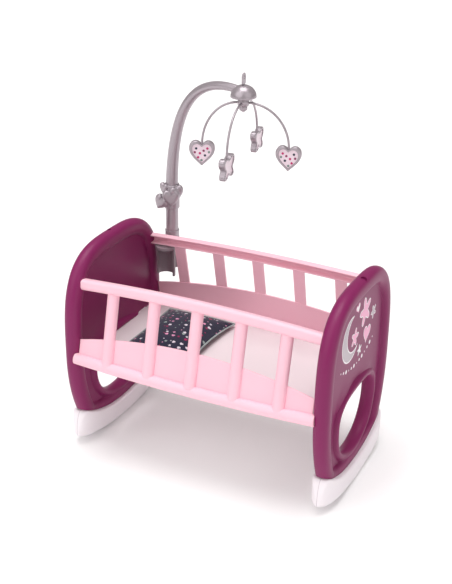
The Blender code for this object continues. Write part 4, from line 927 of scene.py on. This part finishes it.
DOME_WALL, DOME_EDGE, BOSS_RADIUS, BOSS_HEIGHT = 0.0022, 0.0003, 0.0070, 0.0192
outside = superellipse(DOME_RADIUS, DOME_HEIGHT, 2, 2, 24)
inside = superellipse(DOME_RADIUS - DOME_WALL, DOME_HEIGHT - DOME_WALL, 2, 2, 20)
dome_profile = [(max(across, TINY), DOME_FOOT + up) for across, up in outside]
dome_profile += [(DOME_RADIUS - LIFT, DOME_FOOT - DOME_EDGE),
                 (DOME_RADIUS - DOME_WALL + DOME_EDGE, DOME_FOOT - DOME_EDGE)]
dome_profile += [(across, DOME_FOOT + up) for across, up in reversed(inside) if across > BOSS_RADIUS]
dome_profile += [(BOSS_RADIUS, DOME_FOOT + BOSS_HEIGHT), (BOSS_RADIUS, 0.6528), (0.0066, 0.6525),
                 (TINY, 0.6525)]
TURNED = (
    # name here, body, CAD piece, half profile
    ("bell_dome", "mobile_arm", "mobile_dome", dome_profile),
    ("rod_hub", "rotor", "rotor_hub", [
        (TINY, 0.6524), (0.0030, 0.6524), (0.0030, 0.6520), (0.0100, 0.6520), (0.0105, 0.6515),
        (0.0105, 0.6380), (0.0100, 0.6375), (TINY, 0.6375)]),
    ("hub_point", "rotor", "hub_nose", [
        (TINY, 0.6372), (0.0072, 0.6372), (0.0076, 0.6368), (0.0076, 0.6302), (0.0073, 0.6297),
        (0.0012, 0.6245), (TINY, 0.6242)]),
)
for name, body, node, profile in TURNED:
    finish_piece(turned(name, profile), body, PEARL, [node], 50)

# %% [markdown]
# ## Rods and pendants
# A rod is a quarter of an ellipse from the hub down to its pendant. The pendants are shallow
# frames in the shape of a heart or a butterfly, with a printed face let into each side. An outline
# is drawn as a sum of waves and shrunk in steps, and a skin over the steps gives the rounded edge.

# %% Rod and pendant sizes
RODS = (
    # pendant, its direction from the hub in degrees, its share of the full reach
    ("heart_foot", 12.3, 1.04),
    ("butterfly_back", 98.3, 1.11),
    ("heart_head", 201.2, 0.90),
    ("butterfly_front", 276.2, 1.02),
)
HUB_RADIUS, ROD_ROOT, ROD_TIP, ROD_RADIUS, ROD_REACH = 0.0105, 0.6430, 0.5614, 0.0022, 0.0840
ROD_PIN = 0.004  # how far a rod goes into the hub
HEART_SIZE, WING_SIZE, PENDANT_HALF = (0.0485, 0.0470), (0.0565, 0.0413), 0.0060
EDGE_ROUNDING, FACE_INSET, FACE_RECESS, FACE_OUT, FACE_DEPTH = 0.0026, 0.0055, 0.0030, 0.0042, 0.0020
print("pendants:", [label for label, turn, share in RODS])


# %% Pendant shapes
def heart_wave(turn):
    """A point of half a heart, at a turn from 0 at its notch to pi at its tip."""
    up = sum(size * math.cos(wave * turn) for wave, size in ((1, 0.81), (2, -0.22), (3, -0.11), (4, -0.03)))
    return 0.81 * math.sin(turn) - 0.19 * math.sin(3 * turn), up


def wing_wave(turn):
    """A point of half a butterfly, at a turn from 0 at its top notch to pi at its bottom."""
    reach = 0.66 - 0.20 * math.cos(4 * turn) + 0.12 * math.cos(turn)
    return reach * math.sin(turn), reach * math.cos(turn)


def pendant_ring(wave, width, height, inset, deep):
    """A pendant's outline, shrunk by an inset, with the notch for the rod at the origin."""
    raw = np.array([wave(math.pi * step / 400) for step in range(401)])
    half = (raw - (0, raw[0, 1])) * (width / 2 / raw[:, 0].max(), height / np.ptp(raw[:, 1]))
    line = mirrored(evenly(half, 72))
    middle = (0, (line[:, 1].max() + line[:, 1].min()) / 2)
    line = middle + (line - middle) * (1 - 2 * inset / width)
    return [(across, up, deep) for across, up in line]


def pendant(label, turn, share):
    """A framed pendant and the faces let into its two sides, hung under a rod's tip."""
    wave, size = (heart_wave, HEART_SIZE) if label.startswith("heart") else (wing_wave, WING_SIZE)
    rim = [(FACE_INSET, PENDANT_HALF - FACE_RECESS), (FACE_INSET, PENDANT_HALF - TINY),
           (FACE_INSET - TINY, PENDANT_HALF)]
    rim += [(EDGE_ROUNDING * (1 - math.sin(bend)), PENDANT_HALF - EDGE_ROUNDING * (1 - math.cos(bend)))
            for bend in np.linspace(0, math.pi / 2, 8)]
    rim += [(inset, -deep) for inset, deep in reversed(rim)]
    plate = ((FACE_INSET + LIFT, FACE_OUT - FACE_DEPTH), (FACE_INSET + LIFT, FACE_OUT - LIFT),
             (FACE_INSET + 2 * LIFT, FACE_OUT))
    hang = Matrix.Translation((AXIS_X, AXIS_Y, 0)) @ Matrix.Rotation(math.radians(turn), 4, "Z")
    hang = hang @ Matrix.Translation((ROD_REACH * share, 0, ROD_TIP - LIFT))
    hang = hang @ Matrix.Rotation(math.pi / 2, 4, "X")
    made = skin(f"{label}_pendant", [pendant_ring(wave, *size, inset, deep) for inset, deep in rim])
    made.data.transform(hang)
    finish_piece(made, "rotor", PEARL, [f"{label}_frame"], 40)
    for hand, side in (("left", 1), ("right", -1)):
        made = skin(f"{label}_{hand}_face", [pendant_ring(wave, *size, inset, side * deep)
                                             for inset, deep in plate])
        made.data.transform(hang)
        finish_piece(made, "rotor", FACE, [f"{label}_face_{hand}"], 40)
    return hang


# %% Rods and pendants
HANGS = {}
for label, turn, share in RODS:
    outwards = Vector((math.cos(math.radians(turn)), math.sin(math.radians(turn)), 0))
    quarter = superellipse(ROD_REACH * share - HUB_RADIUS, ROD_ROOT - ROD_TIP, 2, 2, 40)
    points = [Vector((AXIS_X, AXIS_Y, ROD_ROOT)) + outwards * (HUB_RADIUS - ROD_PIN)]
    points += [Vector((AXIS_X, AXIS_Y, ROD_TIP + up)) + outwards * (HUB_RADIUS + across)
               for across, up in quarter]
    rod = grown(f"{label}_wire_rod", line_mesh("rod_line", points, 1), tube_tree, PEARL,
                Radius=ROD_RADIUS, Sides=20)
    finish_piece(rod, "rotor", PEARL, [f"{label}_rod"], 60)
    HANGS[label] = pendant(label, turn, share)

# %% [markdown]
# ## Puffed hearts on the post
# The sleeve that hides the joint of post and arm carries a cluster of puffed hearts. They melt
# into each other, so the merged solid is remeshed, smoothed and swollen a little.

# %% Heart cluster
made = softened("heart_cluster", "puffed_hearts", voxel=0.0006, passes=22, puff=0.0008)
finish_piece(made, "cradle", PEARL, ["heart_cluster"], 70)

# %% [markdown]
# ## Printed dots on the hearts
# The heart faces carry a loose scatter of small dots in four inks. Each dot is a disc 4.6 mm across
# and a fraction of a millimetre thick. One tree sets a disc on every point of a mesh, so each ink
# needs only its list of places, and both sides of a pendant are printed in one run.

# %% Dot tree
dot_tree, given = new_tree("printed_dots", Radius=0.0023, Thickness=2 * LIFT)
disc = add(dot_tree, "GeometryNodeMeshCylinder", {"Vertices": 20, "Radius": given["Radius"],
                                                  "Depth": given["Thickness"]})
spots = add(dot_tree, "GeometryNodeMeshToPoints", {"Mesh": given["Geometry"]})
width = add(dot_tree, "GeometryNodeInputNamedAttribute", {"Name": "width"}, data_type="FLOAT").outputs[0]
copies = add(dot_tree, "GeometryNodeInstanceOnPoints", {
    "Points": spots.outputs[0], "Instance": disc.outputs[0],
    "Scale": vector(dot_tree, X=width, Y=width, Z=1.0)})
end_tree(dot_tree, copies.outputs[0], given["Material"])
print("nodes in the dots' tree:", len(dot_tree.nodes))

# %% Dots on both hearts
HEART_DOTS = {
    "magenta": ((-0.0105, -0.0070), (0.0035, -0.0165), (0.0068, -0.0245)),
    "navy": ((0.0105, -0.0075), (-0.0060, -0.0205)),
    "sage": ((-0.0135, -0.0140), (0.0005, -0.0300)),
    "plum": ((0.0130, -0.0150), (-0.0035, -0.0115)),
}
for label in ("heart_foot", "heart_head"):
    for name, places in HEART_DOTS.items():
        spots = [(x, y, side * FACE_OUT) for x, y in places for side in (-1, 1)]
        dots = grown(f"{label}_dots_{name}", line_mesh("spots", spots, 1), dot_tree, INKS[name])
        dots.data.transform(HANGS[label])
        finish_piece(dots, "rotor", INKS[name], angle=30)

# %% [markdown]
# ## Print on the foot panel
# The outer face of the foot panel carries a print. Here it is a plain night sky: a crescent moon,
# rounded stars, two hearts and a trail of dots in white, rose and silver. Every motif is a thin
# plate lying on the web, and a slightly smaller one in another ink lies on top of it, which leaves
# an even outline, as in two-colour pad printing.


# %% Outlines of the motifs
MOON_OPEN, MOON_BITE = 52, 0.42  # half its opening in degrees, middle of the bite as a share


def star_line(radius, steps=20):
    """Outline of a rounded five-pointed star."""
    turns = [2 * math.pi * step / (5 * steps) for step in range(5 * steps)]
    return [(radius * (0.74 + 0.26 * math.cos(5 * turn)) * math.sin(turn),
             radius * (0.74 + 0.26 * math.cos(5 * turn)) * math.cos(turn)) for turn in turns]


def heart_line(radius, steps=48):
    """Outline of a plain heart."""
    turns = [2 * math.pi * step / steps for step in range(steps)]
    return [(radius * math.sin(turn) ** 3,
             radius * (13 * math.cos(turn) - 5 * math.cos(2 * turn) - 2 * math.cos(3 * turn)
                       - math.cos(4 * turn)) / 16) for turn in turns]


def moon_line(radius, steps=32):
    """Outline of a crescent moon, open to the right."""
    outer = [(radius * math.cos(turn), radius * math.sin(turn))
             for turn in np.radians(np.linspace(MOON_OPEN, 360 - MOON_OPEN, steps))]
    start, end = outer[0], outer[-1]
    middle = MOON_BITE * radius
    inner_radius = math.hypot(start[0] - middle, start[1])
    first = math.atan2(end[1], end[0] - middle) % (2 * math.pi)
    last = math.atan2(start[1], start[0] - middle)
    inner = [(middle + inner_radius * math.cos(turn), inner_radius * math.sin(turn))
             for turn in np.linspace(first, last, steps)[1:-1]]
    return outer + inner


print("points in a star, a heart and a moon:", [len(line(1)) for line in (star_line, heart_line, moon_line)])

# %% Flat print
FINE, PLAIN = 360, 96  # points of an outline while it is moved, and once it is done
CLEAR = 0.99  # share of the margin that a moved point keeps from the old outline


def inset_line(outline, margin):
    """Move a closed outline inwards by an even margin, and leave out what crosses itself."""
    line = evenly(list(outline) + [outline[0]], FINE)[:-1]
    along = np.roll(line, -1, axis=0) - np.roll(line, 1, axis=0)
    outwards = np.stack([along[:, 1], -along[:, 0]], 1) / np.linalg.norm(along, axis=1)[:, None]
    area = np.sum(line[:, 0] * np.roll(line[:, 1], -1) - line[:, 1] * np.roll(line[:, 0], -1))
    moved = line - math.copysign(margin, area) * outwards
    nearest = np.linalg.norm(moved[:, None] - line, axis=2).min(axis=1)
    kept = moved[nearest > CLEAR * margin]
    return evenly(np.vstack([kept, kept[:1]]), PLAIN)[:-1]


def print_on_panel(name, outline, place, turn, ink_name, layer):
    """Lay a flat motif on the web of the foot panel."""
    turn = math.radians(turn)
    flat = [(place[0] + x * math.cos(turn) - y * math.sin(turn),
             place[1] + x * math.sin(turn) + y * math.cos(turn)) for x, y in outline]
    rings = [[(PRINT_FACE + deep, MIDDLE_Y + across, up) for across, up in flat]
             for deep in (-LIFT, LIFT * (layer + 1))]
    finish_piece(skin(name, rings), "cradle", INKS[ink_name], angle=30)


print("points left in a heart's inner outline:", len(inset_line(heart_line(0.02), 0.001)))

# %% The print
PRINT_FACE = PANEL_SPACING / 2 + WEB_DEPTH
MARGIN, MARGIN_SHARE = 0.0010, 0.035  # width of a printed outline, and how it grows with the motif
TRAIL_HALF, TRAIL_LOW, TRAIL_CURVE, TRAIL_COUNT = 0.080, 0.236, 2.6, 13
SMALLEST, GROWTH = 0.7, 0.5  # size of the smallest dot of the trail, and how the next ones grow
PRINT = (
    # motif, its size, place across and up, turn in degrees, outline ink, inner ink
    ("moon", moon_line, 0.0430, (-0.038, 0.300), 20, "white", "silver"),
    ("star_large", star_line, 0.0290, (0.030, 0.326), 12, "white", "rose"),
    ("star_middle", star_line, 0.0185, (-0.018, 0.295), -14, "white", "rose"),
    ("star_small", star_line, 0.0140, (0.076, 0.306), 22, "white", "silver"),
    ("heart_large", heart_line, 0.0190, (0.046, 0.276), -12, "white", "rose"),
    ("heart_small", heart_line, 0.0100, (-0.010, 0.349), 14, "rose", "white"),
    ("star_low", star_line, 0.0120, (0.010, 0.258), 8, "silver", "white"),
)
for label, shape_line, size, place, turn, rim_ink, fill_ink in PRINT:
    print_on_panel(f"print_{label}_outline", shape_line(size), place, turn, rim_ink, 0)
    inner = inset_line(shape_line(size), MARGIN + MARGIN_SHARE * size)
    print_on_panel(f"print_{label}", inner, place, turn, fill_ink, 1)
trail = [(x, TRAIL_LOW + TRAIL_CURVE * x ** 2, 0) for x in np.linspace(-TRAIL_HALF, TRAIL_HALF, TRAIL_COUNT)]
sizes = [SMALLEST + GROWTH * (index % 3) for index in range(TRAIL_COUNT)]
dots = grown("print_dot_trail", line_mesh("trail", trail, sizes), dot_tree, INKS["white"])
dots.data.transform(Matrix(((0, 0, 1, PRINT_FACE), (1, 0, 0, MIDDLE_Y), (0, 1, 0, 0), (0, 0, 0, 1))))
finish_piece(dots, "cradle", INKS["white"], angle=30)

# %% [markdown]
# ## Printed cotton
# The pillow is covered in navy cotton, printed with small stars, hearts and dots. The pattern is
# made in the material: space is divided into cells about 13 mm wide, each with one motif at its
# middle. The distance and direction from that middle decide whether a point lies inside a star, a
# heart or a dot, and each cell draws its ink by chance. The weave is 0.5 mm on the real cloth; it is
# drawn at 1.1 mm, so that it can be seen.

# %% Cells of the pattern
CELL, MOTIF_HALF, THREAD, TWILL = 0.0130, 0.0030, 0.0011, 0.0009
WAVE = math.pi / 10  # scale at which Blender's wave texture has one wave to the metre
WHOLE_TURN = 6.283  # in radians
COTTON, tree, shader = new_material("woven_cotton_print_navy", Roughness=0.88, Sheen_Weight=0.25,
                                    Sheen_Roughness=0.5, Specular_IOR_Level=0.2)
place = place_on_piece(tree)
cells = add(tree, "ShaderNodeTexVoronoi", {"Vector": place, "Scale": 1 / CELL, "Randomness": 0.75},
            voronoi_dimensions="2D")
away = add(tree, "ShaderNodeVectorMath", {0: place, 1: cells.outputs["Position"]}, operation="SUBTRACT")
pick = add(tree, "ShaderNodeSeparateColor", {"Color": cells.outputs["Color"]})
turn = maths(tree, "MULTIPLY", pick.outputs["Blue"], WHOLE_TURN)
local = add(tree, "ShaderNodeVectorRotate", {"Vector": away.outputs[0], "Angle": turn},
            rotation_type="Z_AXIS")
local = add(tree, "ShaderNodeVectorMath", {0: local.outputs[0], "Scale": 1 / MOTIF_HALF}, operation="SCALE")
axes = add(tree, "ShaderNodeSeparateXYZ", {0: local.outputs[0]})
print("cells in a metre of cloth:", round(1 / CELL))

# %% Motifs of the pattern
x, y = axes.outputs["X"], axes.outputs["Y"]
x_square, y_square = maths(tree, "MULTIPLY", x, x), maths(tree, "MULTIPLY", y, y)
radius_square = maths(tree, "ADD", x_square, y_square)
radius = maths(tree, "SQRT", radius_square)
waves = maths(tree, "COSINE", maths(tree, "MULTIPLY", maths(tree, "ARCTAN2", y, x), 5.0))
star = maths(tree, "LESS_THAN", radius, maths(tree, "MULTIPLY_ADD", waves, 0.30, 0.72))
ball = maths(tree, "SUBTRACT", radius_square, 1.0)
ball_cube = maths(tree, "MULTIPLY", ball, maths(tree, "MULTIPLY", ball, ball))
y_cube = maths(tree, "MULTIPLY", y_square, y)
heart = maths(tree, "LESS_THAN", ball_cube, maths(tree, "MULTIPLY", x_square, y_cube))
dot = maths(tree, "LESS_THAN", radius, 0.42)
is_star = maths(tree, "LESS_THAN", pick.outputs["Red"], 0.30)
is_dot = maths(tree, "GREATER_THAN", pick.outputs["Red"], 0.52)
star_or_heart = add(tree, "ShaderNodeMix", {0: is_star, 2: heart, 3: star})
motif = add(tree, "ShaderNodeMix", {0: is_dot, 2: star_or_heart.outputs[0], 3: dot})
print("nodes in the cotton so far:", len(tree.nodes))

# %% Inks, ground and weave
inks = add(tree, "ShaderNodeValToRGB", {"Fac": pick.outputs["Green"]})
ramp = inks.color_ramp
ramp.interpolation = "CONSTANT"
ramp.elements.remove(ramp.elements[1])
ramp.elements[0].color = colour("#ddd6df")
for position, code in ((0.35, "#e39bbd"), (0.60, "#a91d5a"), (0.80, "#98a8a4")):
    ramp.elements.new(position).color = colour(code)
ground = blend(tree, noise(tree, 60.0, 4.0), colour("#1c1f33"), colour("#2a2c42"))
warp, weft = (add(tree, "ShaderNodeTexWave", {"Vector": place, "Scale": WAVE / THREAD},
                  bands_direction=axis).outputs["Fac"] for axis in "XY")
threads = relief(tree, maths(tree, "MULTIPLY", warp, weft), 0.00008, 0.7)
creases = noise(tree, 38.0, 3.0, Distortion=0.6)
feed(shader, Base_Color=blend(tree, motif.outputs[0], ground, inks.outputs["Color"]),
     Normal=relief(tree, creases, 0.0016, 0.6, Normal=threads))
print("cotton ready, nodes:", len(tree.nodes))

# %% Piping
# Cotton piping: a folded bias strip over a cord, pale grey-green, with a fine twill.
PIPING, tree, shader = new_material("cotton_piping_sage", Roughness=0.85, Sheen_Weight=0.2)
twill = add(tree, "ShaderNodeTexWave", {"Vector": place_on_piece(tree), "Scale": WAVE / TWILL},
            bands_direction="DIAGONAL").outputs["Fac"]
feed(shader, Base_Color=blend(tree, twill, colour("#8d9a99"), colour("#aab5b3")),
     Normal=relief(tree, twill, 0.00006, 0.8))
print("piping ready:", PIPING.name)

# %% [markdown]
# ## Pillow
# A small stuffed pillow: two pieces of cloth sewn round the edge with piping in the seam, filled and
# thin towards the seam. Its sides pull in between the corners. A cloth simulation gives that tension
# better than any formula: the solid is shrunk a little, remeshed at 4.5 mm, held along its seam, and
# blown up from inside. How far a point may move is capped, so that it keeps to its room.

# %% Pillow sizes
PILLOW_MIDDLE = Vector((-0.1120, MIDDLE_Y, 0.2017))
PILLOW_HALF = (0.0740, 0.1070)  # half length and half width of the seam at its corners
DRAW_IN, DROOP, BED_TOP = 0.0080, 0.0060, 0.1906
PIPING_RADIUS, PILLOW_CAP, PILLOW_NET, SEAM_HELD = 0.0017, 0.0090, 0.0045, 0.0050
SHRINK = (0.965, 0.975, 0.86)  # share of the solid's size at which the cloth starts
CLOTH = {"quality": 6, "mass": 0.2, "tension_stiffness": 12, "compression_stiffness": 12,
         "shear_stiffness": 4, "bending_stiffness": 0.2, "use_pressure": True,
         "uniform_pressure_force": 4}
LAST_FRAME = 20
print("bed's top:", BED_TOP, "m above the floor")


# %% Pillow tools
def drooped(point):
    """Lower a point near the pillow's corners, where the seam sinks to the bed."""
    along, across = (point.x - PILLOW_MIDDLE.x) / PILLOW_HALF[0], (point.y - PILLOW_MIDDLE.y) / PILLOW_HALF[1]
    return Vector((point.x, point.y, max(point.z - DROOP * (along * across) ** 2, BED_TOP)))


def seam_line(steps=28):
    """The seam: four sides that pull in between the corners."""
    half_x, half_y = PILLOW_HALF
    span = np.linspace(-1, 1, steps, endpoint=False)
    line = [(east * (half_x - draw) - north * t * half_x, north * (half_y - draw) + east * t * half_y)
            for east, north in ((1, 0), (0, 1), (-1, 0), (0, -1))
            for t, draw in zip(span, DRAW_IN * (1 - span * span))]
    return [PILLOW_MIDDLE + Vector((x, y, 0)) for x, y in line]


def inflate(cushion, hold):
    """Blow a closed cloth up from inside, with the points of one group held."""
    cloth = cushion.modifiers.new("Cloth", "CLOTH")
    for setting, value in CLOTH.items():
        setattr(cloth.settings, setting, value)
    cloth.settings.vertex_group_mass = hold
    cloth.settings.effector_weights.gravity = 0
    cloth.point_cache.frame_start, cloth.point_cache.frame_end = 1, LAST_FRAME
    for step in range(1, LAST_FRAME + 1):
        bpy.context.scene.frame_set(step)
    for before, after in zip(cushion.data.vertices, shaped_mesh(cushion).vertices):
        move = after.co - before.co
        before.co += move * min(1, PILLOW_CAP / max(move.length, TINY))
    cushion.modifiers.clear()
    bpy.context.scene.frame_set(1)


print("points in the seam:", len(seam_line()))


# %% Make the pillow
pillow = merged_copy("pillow", "stuffed_pillow")
shrink = Matrix.Diagonal((*SHRINK, 1))
pillow.data.transform(Matrix.Translation(PILLOW_MIDDLE) @ shrink @ Matrix.Translation(-PILLOW_MIDDLE))
remesh(pillow, PILLOW_NET)
baked(pillow)
seam = np.array([point[:2] for point in seam_line()])
flat = np.array([vertex.co[:2] for vertex in pillow.data.vertices])
held = pillow.vertex_groups.new(name="seam")
near_seam = distance_to(flat, seam) < SEAM_HELD
held.add([int(index) for index in np.flatnonzero(near_seam)], 1.0, "REPLACE")
print("points held along the seam:", int(near_seam.sum()), "of", len(flat))
inflate(pillow, "seam")
for vertex in pillow.data.vertices:
    vertex.co = drooped(vertex.co)
finer = pillow.modifiers.new("Finer", "SUBSURF")
finer.levels = finer.render_levels = 1
baked(pillow)
finish_piece(pillow, "pillow", COTTON, ["pillow"], 80)
cord_line = [drooped(point) + Vector((0, 0, PIPING_RADIUS / 2)) for point in seam_line()]
piping = grown("pillow_piping", line_mesh("piping_line", cord_line, 1, closed=True), tube_tree, PIPING,
               Radius=PIPING_RADIUS, Sides=12)
finish_piece(piping, "pillow", PIPING, angle=80)

# %% [markdown]
# ## Screws
# Two zinc-plated screws hold each rocker from below. They are seen only when the cradle lies on its
# side, so their solids are kept and given their metal.

# %% Screw finish
for label in ("head", "foot"):
    for place in ("front", "back"):
        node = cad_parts[f"{label}_rocker_screw_{place}"]
        node.data.materials.clear()
        node.data.materials.append(ZINC)
print("screws finished")

# %% [markdown]
# ## Room and light
# The cradle stands on a plain white floor that is carried up behind it by a white world. The floor
# glows a little to the camera, so that it shows almost pure white and keeps the soft shadow. Away
# from the camera the world is dim and slightly warm, which tints the shaded sides. Three wide suns
# make the form: a strong one from above, a softer one from the front left, and a weak one from the
# right.

# %% Floor
FLOOR_HALF, FLOOR_GLOW, PURE_WHITE = 6, 0.06, (1, 1, 1, 1)
mesh = bpy.data.meshes.new("floor")
mesh.from_pydata([(x * FLOOR_HALF, y * FLOOR_HALF, 0) for x, y in ((-1, -1), (1, -1), (1, 1), (-1, 1))], [],
                 [(0, 1, 2, 3)])
floor = placed("floor", mesh)
PAPER, tree, shader = new_material("studio_paper_white", Base_Color=PURE_WHITE, Roughness=0.9)
rays = add(tree, "ShaderNodeLightPath").outputs
seen = maths(tree, "MAXIMUM", rays["Is Camera Ray"], rays["Is Glossy Ray"])
seen = maths(tree, "MAXIMUM", seen, rays["Is Transmission Ray"])
glow = add(tree, "ShaderNodeEmission", {"Color": PURE_WHITE, "Strength": 1.0})
mix = add(tree, "ShaderNodeMixShader", {0: maths(tree, "MULTIPLY", seen, FLOOR_GLOW), 1: shader.outputs[0],
                                        2: glow.outputs[0]})
feed(tree.nodes["Material Output"], Surface=mix.outputs[0])
floor.data.materials.append(PAPER)
print("floor:", 2 * FLOOR_HALF, "m square")

# %% World
AMBIENT, AMBIENT_TINT = 0.30, (1, 0.92, 0.90, 1)
world = bpy.data.worlds.new("studio_world")
bpy.context.scene.world = world
world.use_nodes = True
tree = world.node_tree
rays = add(tree, "ShaderNodeLightPath").outputs
seen = maths(tree, "MAXIMUM", rays["Is Camera Ray"], rays["Is Transmission Ray"])
feed(tree.nodes["Background"], Color=blend(tree, seen, AMBIENT_TINT, PURE_WHITE),
     Strength=spread(tree, seen, AMBIENT, 1.0))
print("the world's light:", AMBIENT, "of pure white")

# %% Lamps
LAMPS = (
    # name, direction it shines from, strength, how wide it looks in degrees
    ("overhead", (-0.05, 0.05, 1.0), 2.1, 45),
    ("front", (-0.35, -0.80, 0.65), 1.15, 60),
    ("right", (0.90, -0.30, 0.50), 0.55, 60),
)
for label, place, power, width in LAMPS:
    lamp = bpy.data.lights.new(label, "SUN")
    lamp.energy, lamp.angle = power, math.radians(width)
    placed(label, lamp).rotation_euler = (-Vector(place)).to_track_quat("-Z", "Y").to_euler()
print("suns:", [lamp.name for lamp in bpy.data.lights])

# %% [markdown]
# ## Camera
# The camera stands to the right of the foot end and looks down at 25 degrees. Its place, turn and
# lens were solved from the outlines of the two equal end panels.

# %% Camera
YAW, LOOK_DOWN, ROLL, LENS = math.radians(26.086), math.radians(25.137), math.radians(-0.722), 67.96
CAMERA_PLACE = (0.8034, -1.6546 + MIDDLE_Y, 1.1830)
back = Vector((math.sin(YAW) * math.cos(LOOK_DOWN), -math.cos(YAW) * math.cos(LOOK_DOWN),
               math.sin(LOOK_DOWN)))
right = Vector((math.cos(YAW), math.sin(YAW), 0))
turn = Matrix((right, back.cross(right), back))
roll = Matrix(((math.cos(ROLL), -math.sin(ROLL), 0), (math.sin(ROLL), math.cos(ROLL), 0), (0, 0, 1)))
camera = placed("camera", bpy.data.cameras.new("camera"))
camera.matrix_world = Matrix.Translation(CAMERA_PLACE) @ (roll @ turn).transposed().to_4x4()
camera.data.sensor_fit = "VERTICAL"
camera.data.sensor_height = 36
camera.data.lens = LENS
bpy.context.scene.camera = camera
bpy.context.scene.view_settings.view_transform = "Standard"
print("camera at", [round(part, 3) for part in CAMERA_PLACE], "with a lens of", LENS, "mm")
